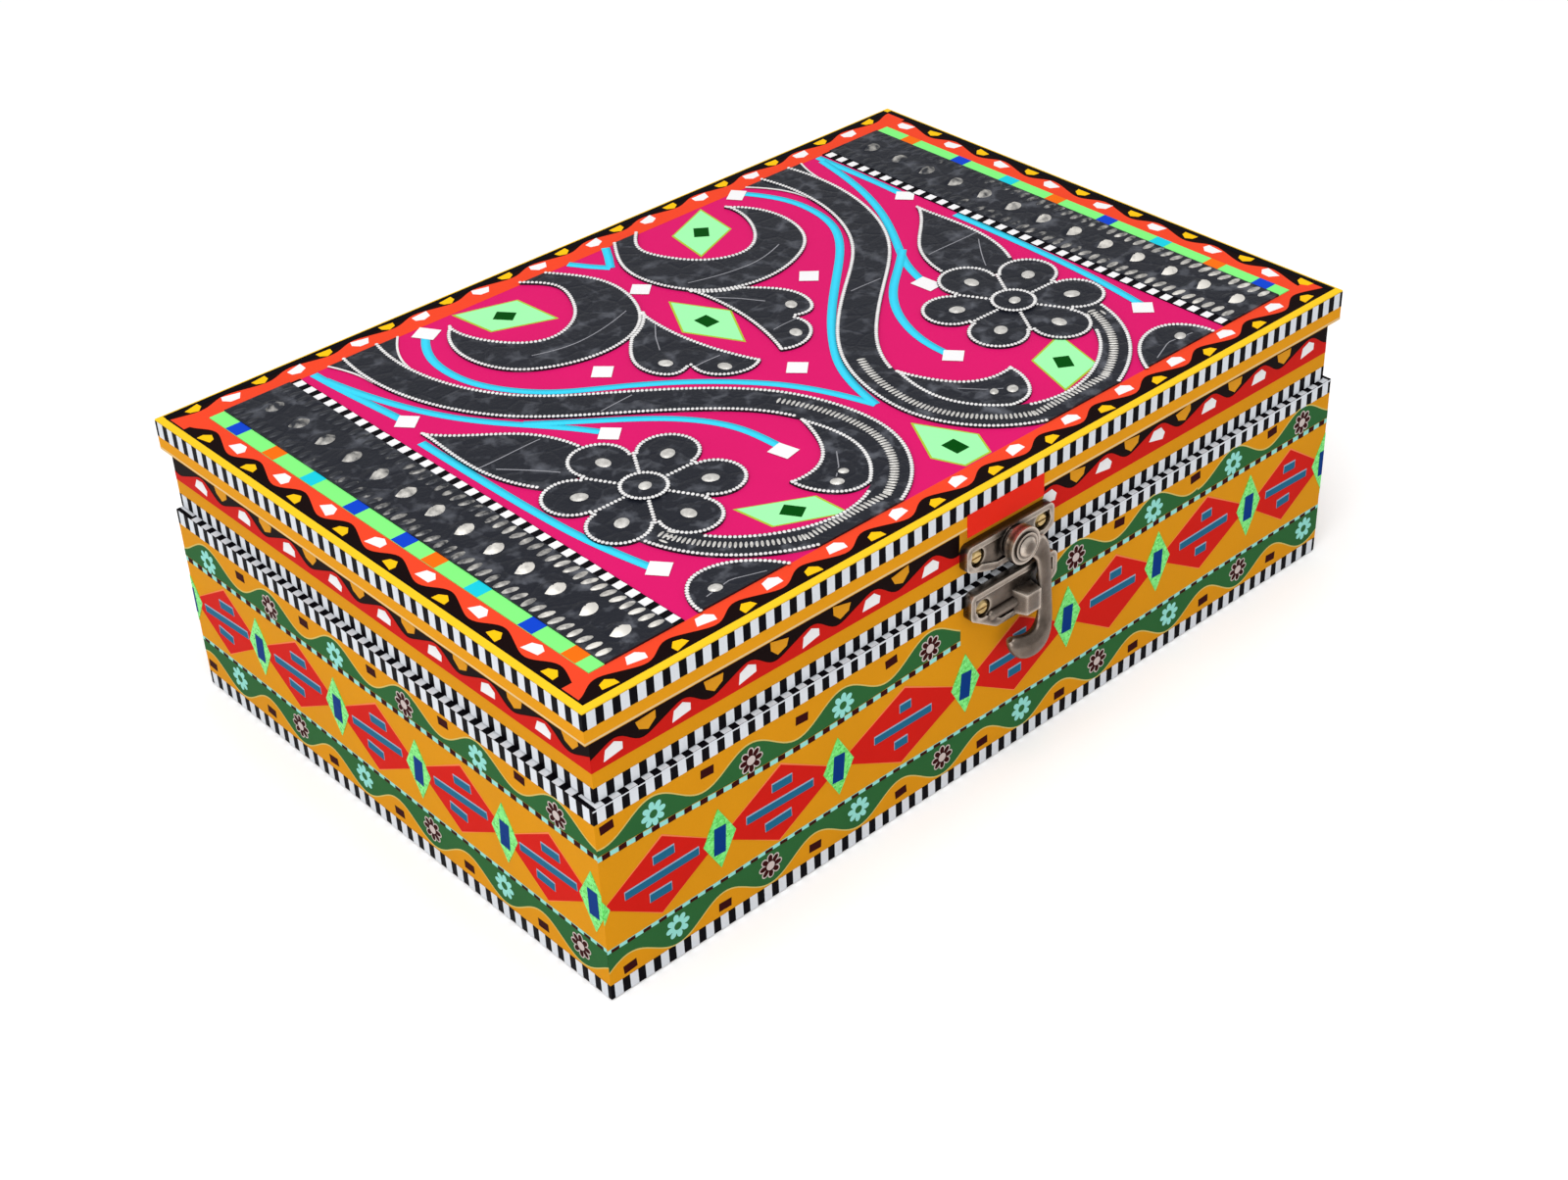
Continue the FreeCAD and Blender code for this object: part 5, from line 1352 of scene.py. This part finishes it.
# How far out on a petal its boss sits, and the disc of foil that closes a flower from below.
PETAL_BOSS = 15.6
BACKING = 12.5
boss_spots = []
for sign in (-1, 1):
    for index in range(6):
        turn = math.radians(90 + 60 * index)
        x = sign * flower_x + PETAL_BOSS * math.cos(turn)
        y = flower_y + PETAL_BOSS * math.sin(turn)
        boss_spots.append((x, y, FOIL, math.degrees(turn), 1.0))
    boss_spots.append((sign * flower_x, flower_y, flower_high.z, 20.0, 0.85))
    for x, y, turn, size in (
        (21.6, 13.6, 60, 0.9),
        (12.2, 1.6, 75, 0.9),
        (29.8, -58.1, 30, 0.8),
        (25.6, -55.8, 30, 0.6),
        (78.5, -70.5, 15, 0.8),
    ):
        boss_spots.append((sign * x, y, FOIL, sign * turn, size))
rims, crowns = [], []
# Each boss: a dark foil rim and a bright rubbed crown, which is also a painted highlight, shifted towards
# the front where the light falls.
for x, y, level, turn, size in boss_spots:
    for made, shape, nearer in (
        (rims, dome(6.2 * size, 5.4 * size, 0.16, 18), 0.0),
        (crowns, dome(4.7 * size, 3.8 * size, 0.5, 16), 0.4),
    ):
        made.append(laid(shape, x, y - nearer, level, turn))
for sign in (-1, 1):
    backing = cut_film(round_shape(BACKING, count=32), 0.5)
    rims.append(laid(backing, sign * flower_x, flower_y, FIELD))
join("foil_boss_rims", rims, dark_foil, "lid", 1.0)
join("foil_boss_crowns", crowns, boss_metal, "lid", 1.0)


def half_moon(radius, flat, high, lift):
    """A painted highlight: the near half of a cone-shaped boss as a thin bright shell, in millimetres."""
    steps = 10
    rings = ((radius, 0.0), ((radius + flat) / 2, 0.5), (flat, 1.0), (0.25 * flat, 1.0))
    points, faces = [], []
    for under in (0.0, 0.12):
        for reach, share in rings:
            for index in range(steps + 1):
                turn = math.radians(100 + 160 * index / steps)
                level = high * share + lift - under
                points.append((reach * math.cos(turn) * MM, reach * math.sin(turn) * MM, level * MM))
    wide, count = steps + 1, len(rings) * (steps + 1)
    for ring in range(len(rings) - 1):
        for index in range(steps):
            corner = ring * wide + index
            quad = (corner, corner + 1, corner + wide + 1, corner + wide)
            faces += [quad, tuple(count + point for point in reversed(quad))]
    rim = list(range(wide))
    rim += [ring * wide + steps for ring in range(1, len(rings))]
    rim += [(len(rings) - 1) * wide + index for index in range(steps - 1, -1, -1)]
    rim += [ring * wide for ring in range(len(rings) - 2, 0, -1)]
    for here, after in zip(rim, rim[1:] + rim[:1]):
        faces.append((after, here, count + here, count + after))
    mesh = bpy.data.meshes.new("half_moon")
    mesh.from_pydata(points, [], faces)
    return mesh


def front_sheen(share_at_middle, fall):
    """Dark at the back of the lid and brighter towards the front, a painted reflection over random wear."""

    def build(plan):
        away = plan.part(plan.place(), 1)
        wear = plan.noise(420, 4)
        share = plan.clamp((wear - 0.5) * 2.2 + share_at_middle - away * fall)
        return {
            "Base Color": plan.mix(share, ink(36, 39, 47), ink(232, 228, 220)),
            "Roughness": 0.3 + wear * 0.25,
        }

    return build


# Painted reflection: the dashes and the band crowns are made brighter towards the front of the lid.
dash_metal = new_finish("dash_metal", {"Metallic": 0.3}, front_sheen(0.12, 10.0))
crown_metal = new_finish("crown_metal", {"Metallic": 0.3}, front_sheen(0.7, 9.0))
BAND_PITCH, BAND_BOSSES = 11.3, 13
BAND_DASH_PITCH, BAND_DASH_ASIDE = 3.3, 7.3
# The band bosses get a bright shell on their near half only, a painted highlight lit from the front.
band_highlight_shell = as_shape(half_moon(2.9, 1.1, 0.8, 0.1))
dash_oval = as_shape(laid(dome(1.8, 4.3, 0.34, 10), 0, 0, 0.0, -10))
dashes, band_crowns = [], []
for node in ("left_foil_band", "right_foil_band"):
    strip = across_lid(node, FOIL)
    row = (strip, -(BAND_BOSSES // 2) * BAND_PITCH, BAND_BOSSES, BAND_PITCH, 0.0)
    band_crowns.append(lay_row(band_highlight_shell, *row, crown_metal, 14, 5))
    for aside in (-BAND_DASH_ASIDE, BAND_DASH_ASIDE):
        dashes.append(fill_side(dash_oval, strip, BAND_DASH_PITCH, aside, dash_metal, 12, 1.5, 6))
join("foil_band_dashes", dashes, dash_metal, "lid", 1.0)
join("foil_band_crowns", band_crowns, crown_metal, "lid", 1.0)


# Latch: two cast plates, a swing hook and a rivet, finished as antique bronze: brown in
# the hollows, partly patina and partly painted shade, and rubbed to grey metal on the high
# places and the rounded edges, partly wear and partly a painted highlight. The plates are
# held by brass screws, and the hinge leaves at the back have the same bronze finish.
SHARP = 0.6


def softened(node, width):
    """A merged copy of a CAD node's mesh with its sharp edges rounded."""
    shape = merged(node)
    bmesh.ops.dissolve_limit(shape, angle_limit=0.01, verts=shape.verts, edges=shape.edges)
    folds = [edge for edge in shape.edges if len(edge.link_faces) == 2]
    sharp = [edge for edge in folds if edge.calc_face_angle(0) > SHARP]
    bmesh.ops.bevel(
        shape,
        geom=sharp,
        offset=width,
        offset_type="OFFSET",
        segments=2,
        profile=0.5,
        affect="EDGES",
        clamp_overlap=True,
    )
    mesh = bpy.data.meshes.new(node)
    shape.to_mesh(mesh)
    shape.free()
    return mesh


def antique(rub_and_highlight_reach):
    """Stained bronze, dark in the hollows as patina and painted shade, and pale near the edges of thick
    castings as rubbed wear and a painted highlight.
    """

    def build(plan):
        cast = plan.clamp((plan.noise(240, 3) - 0.5) * 1.3 + 0.5)
        stain = plan.noise(150, 4)
        # Partly patina, partly painted shade: the hollows are darkened by ambient occlusion.
        open_share = plan.node("ShaderNodeAmbientOcclusion", {"samples": 6}, {"Distance": 3.0 * MM}, "AO")
        within = {"samples": 6, "inside": True}
        thick_share = plan.node("ShaderNodeAmbientOcclusion", within, {"Distance": rub_and_highlight_reach}, "AO")
        # Partly rubbed wear, partly painted highlight: thin edges are made pale.
        rubbed_and_highlit_edge = plan.clamp((1.0 - thick_share) * 2.4 - 0.15)
        metal = plan.mix(cast, ink(58, 48, 42), ink(136, 123, 112))
        metal = plan.mix(stain * 0.55, metal, ink(72, 62, 54))
        metal = plan.mix(rubbed_and_highlit_edge, metal, ink(208, 195, 182))
        return {
            "Base Color": plan.mix(open_share ** 2.6, ink(30, 22, 19), metal),
            "Roughness": 0.18 + stain * 0.24,
            "Normal": plan.bump(cast, 0.2 * MM),
        }

    return build


def brass(plan):
    """Worn brass, brown where it is not rubbed."""
    wear = plan.noise(600, 4)
    return {
        "Base Color": plan.mix(wear, ink(128, 98, 50), ink(240, 212, 150)),
        "Roughness": 0.2 + plan.noise(300, 3) * 0.3,
    }


bronze = new_finish("antique_bronze", {"Metallic": 0.92}, antique(1.2 * MM))
hinge_bronze = new_finish("hinge_bronze", {"Metallic": 0.92}, antique(0.4 * MM))
screw_brass = new_finish("screw_brass", {"Metallic": 0.85}, brass)
dress(bronze, "swing_hook")
for hand in ("left", "right"):
    dress(hinge_bronze, f"{hand}_hinge_base_leaf", f"{hand}_hinge_lid_leaf", f"{hand}_hinge_pin")
dress(screw_brass, "latch_screws", "catch_screws", "base_hinge_screws", "lid_hinge_screws")
for node, body, width in (
    ("latch_plate", "lid", 0.55),
    ("catch_plate", "base", 0.55),
    ("latch_rivet", "lid", 0.4),
):
    rounded = softened(node, width * MM)
    casting = place_piece(node + "_casting", rounded, bronze, body, 0.7)
    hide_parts(node)
# Red film stuck to the edge of the lid panel above the latch plate.
patch_red = film("patch_red", ink(232, 44, 28), 0.1, 0.36)
dress(patch_red, "lid_latch_patch")


# Studio: a pale floor that reads as white under a white sky, a large soft lamp above, one to
# the left and a weak one at the right, and a camera where the photograph was taken from.
def pale_floor():
    """A matt floor that camera and gloss see a little brighter than it is lit."""
    material = bpy.data.materials.new("pale_floor")
    material.use_nodes = True
    plan = Plan(material.node_tree)
    shader = material.node_tree.nodes["Principled BSDF"]
    shader.inputs["Base Color"].default_value = (0.9, 0.9, 0.9, 1.0)
    shader.inputs["Roughness"].default_value = 0.9
    seen = plan.node("ShaderNodeLightPath", output="Is Camera Ray")
    glossy = plan.node("ShaderNodeLightPath", output="Is Glossy Ray")
    glow = plan.node("ShaderNodeEmission", None, {"Strength": 0.22})
    matt = Wire(plan, shader.outputs[0])
    both = plan.node("ShaderNodeAddShader", None, {0: glow, 1: matt})
    sockets = {0: plan.clamp(seen + glossy), 1: matt, 2: both}
    mixed = plan.node("ShaderNodeMixShader", None, sockets)
    out = material.node_tree.nodes["Material Output"]
    plan.tree.links.new(mixed.socket, out.inputs["Surface"])
    return material


floor_mesh = bpy.data.meshes.new("floor")
FLOOR_REACH = 4.0
floor_corners = [(x * FLOOR_REACH, y * FLOOR_REACH, 0.0) for x, y in rectangle(2, 2)]
floor_mesh.from_pydata(floor_corners, [], [(0, 1, 2, 3)])
floor_mesh.materials.append(pale_floor())
floor = bpy.data.objects.new("floor", floor_mesh)
bpy.context.scene.collection.objects.link(floor)

world = bpy.data.worlds.new("studio")
bpy.context.scene.world = world
world.use_nodes = True
world.node_tree.nodes["Background"].inputs["Color"].default_value = (1.0, 1.0, 1.0, 1.0)
plan = Plan(world.node_tree)
seen = plan.node("ShaderNodeLightPath", output="Is Camera Ray")
plan.tree.links.new((seen * 0.45 + 0.55).socket, world.node_tree.nodes["Background"].inputs["Strength"])
for name, place, aim, size, power in (
    ("top_lamp", (-0.25, -0.15, 1.3), (0, 0, 0.05), 1.1, 9.0),
    ("left_lamp", (-1.3, -0.65, 0.7), (0, 0, 0.04), 0.9, 6.6),
    ("right_lamp", (0.6, -1.3, 0.6), (0, 0, 0.04), 0.9, 0.3),
):
    lamp = bpy.data.lights.new(name, "AREA")
    lamp.shape = "DISK"
    lamp.size = size
    lamp.energy = power
    lamp_object = bpy.data.objects.new(name, lamp)
    bpy.context.scene.collection.objects.link(lamp_object)
    lamp_object.location = place
    lamp_object.rotation_euler = (Vector(aim) - Vector(place)).to_track_quat("-Z", "Y").to_euler()

camera_data = bpy.data.cameras.new("photo_view")
camera_data.sensor_width = 36.0
camera_data.lens = 56.71
camera = bpy.data.objects.new("photo_view", camera_data)
bpy.context.scene.collection.objects.link(camera)
CAMERA_PLACE = Vector((-0.36009, -0.41712, 0.39096))
CAMERA_AIM = Vector((-0.02822, -0.03611, 0.04))
CAMERA_ROLL = math.radians(-2.544)
look = (CAMERA_AIM - CAMERA_PLACE).to_track_quat("-Z", "Y").to_matrix().to_4x4()
camera.matrix_world = Matrix.Translation(CAMERA_PLACE) @ look @ Matrix.Rotation(CAMERA_ROLL, 4, "Z")
bpy.context.scene.camera = camera
bpy.context.scene.view_settings.view_transform = "Standard"
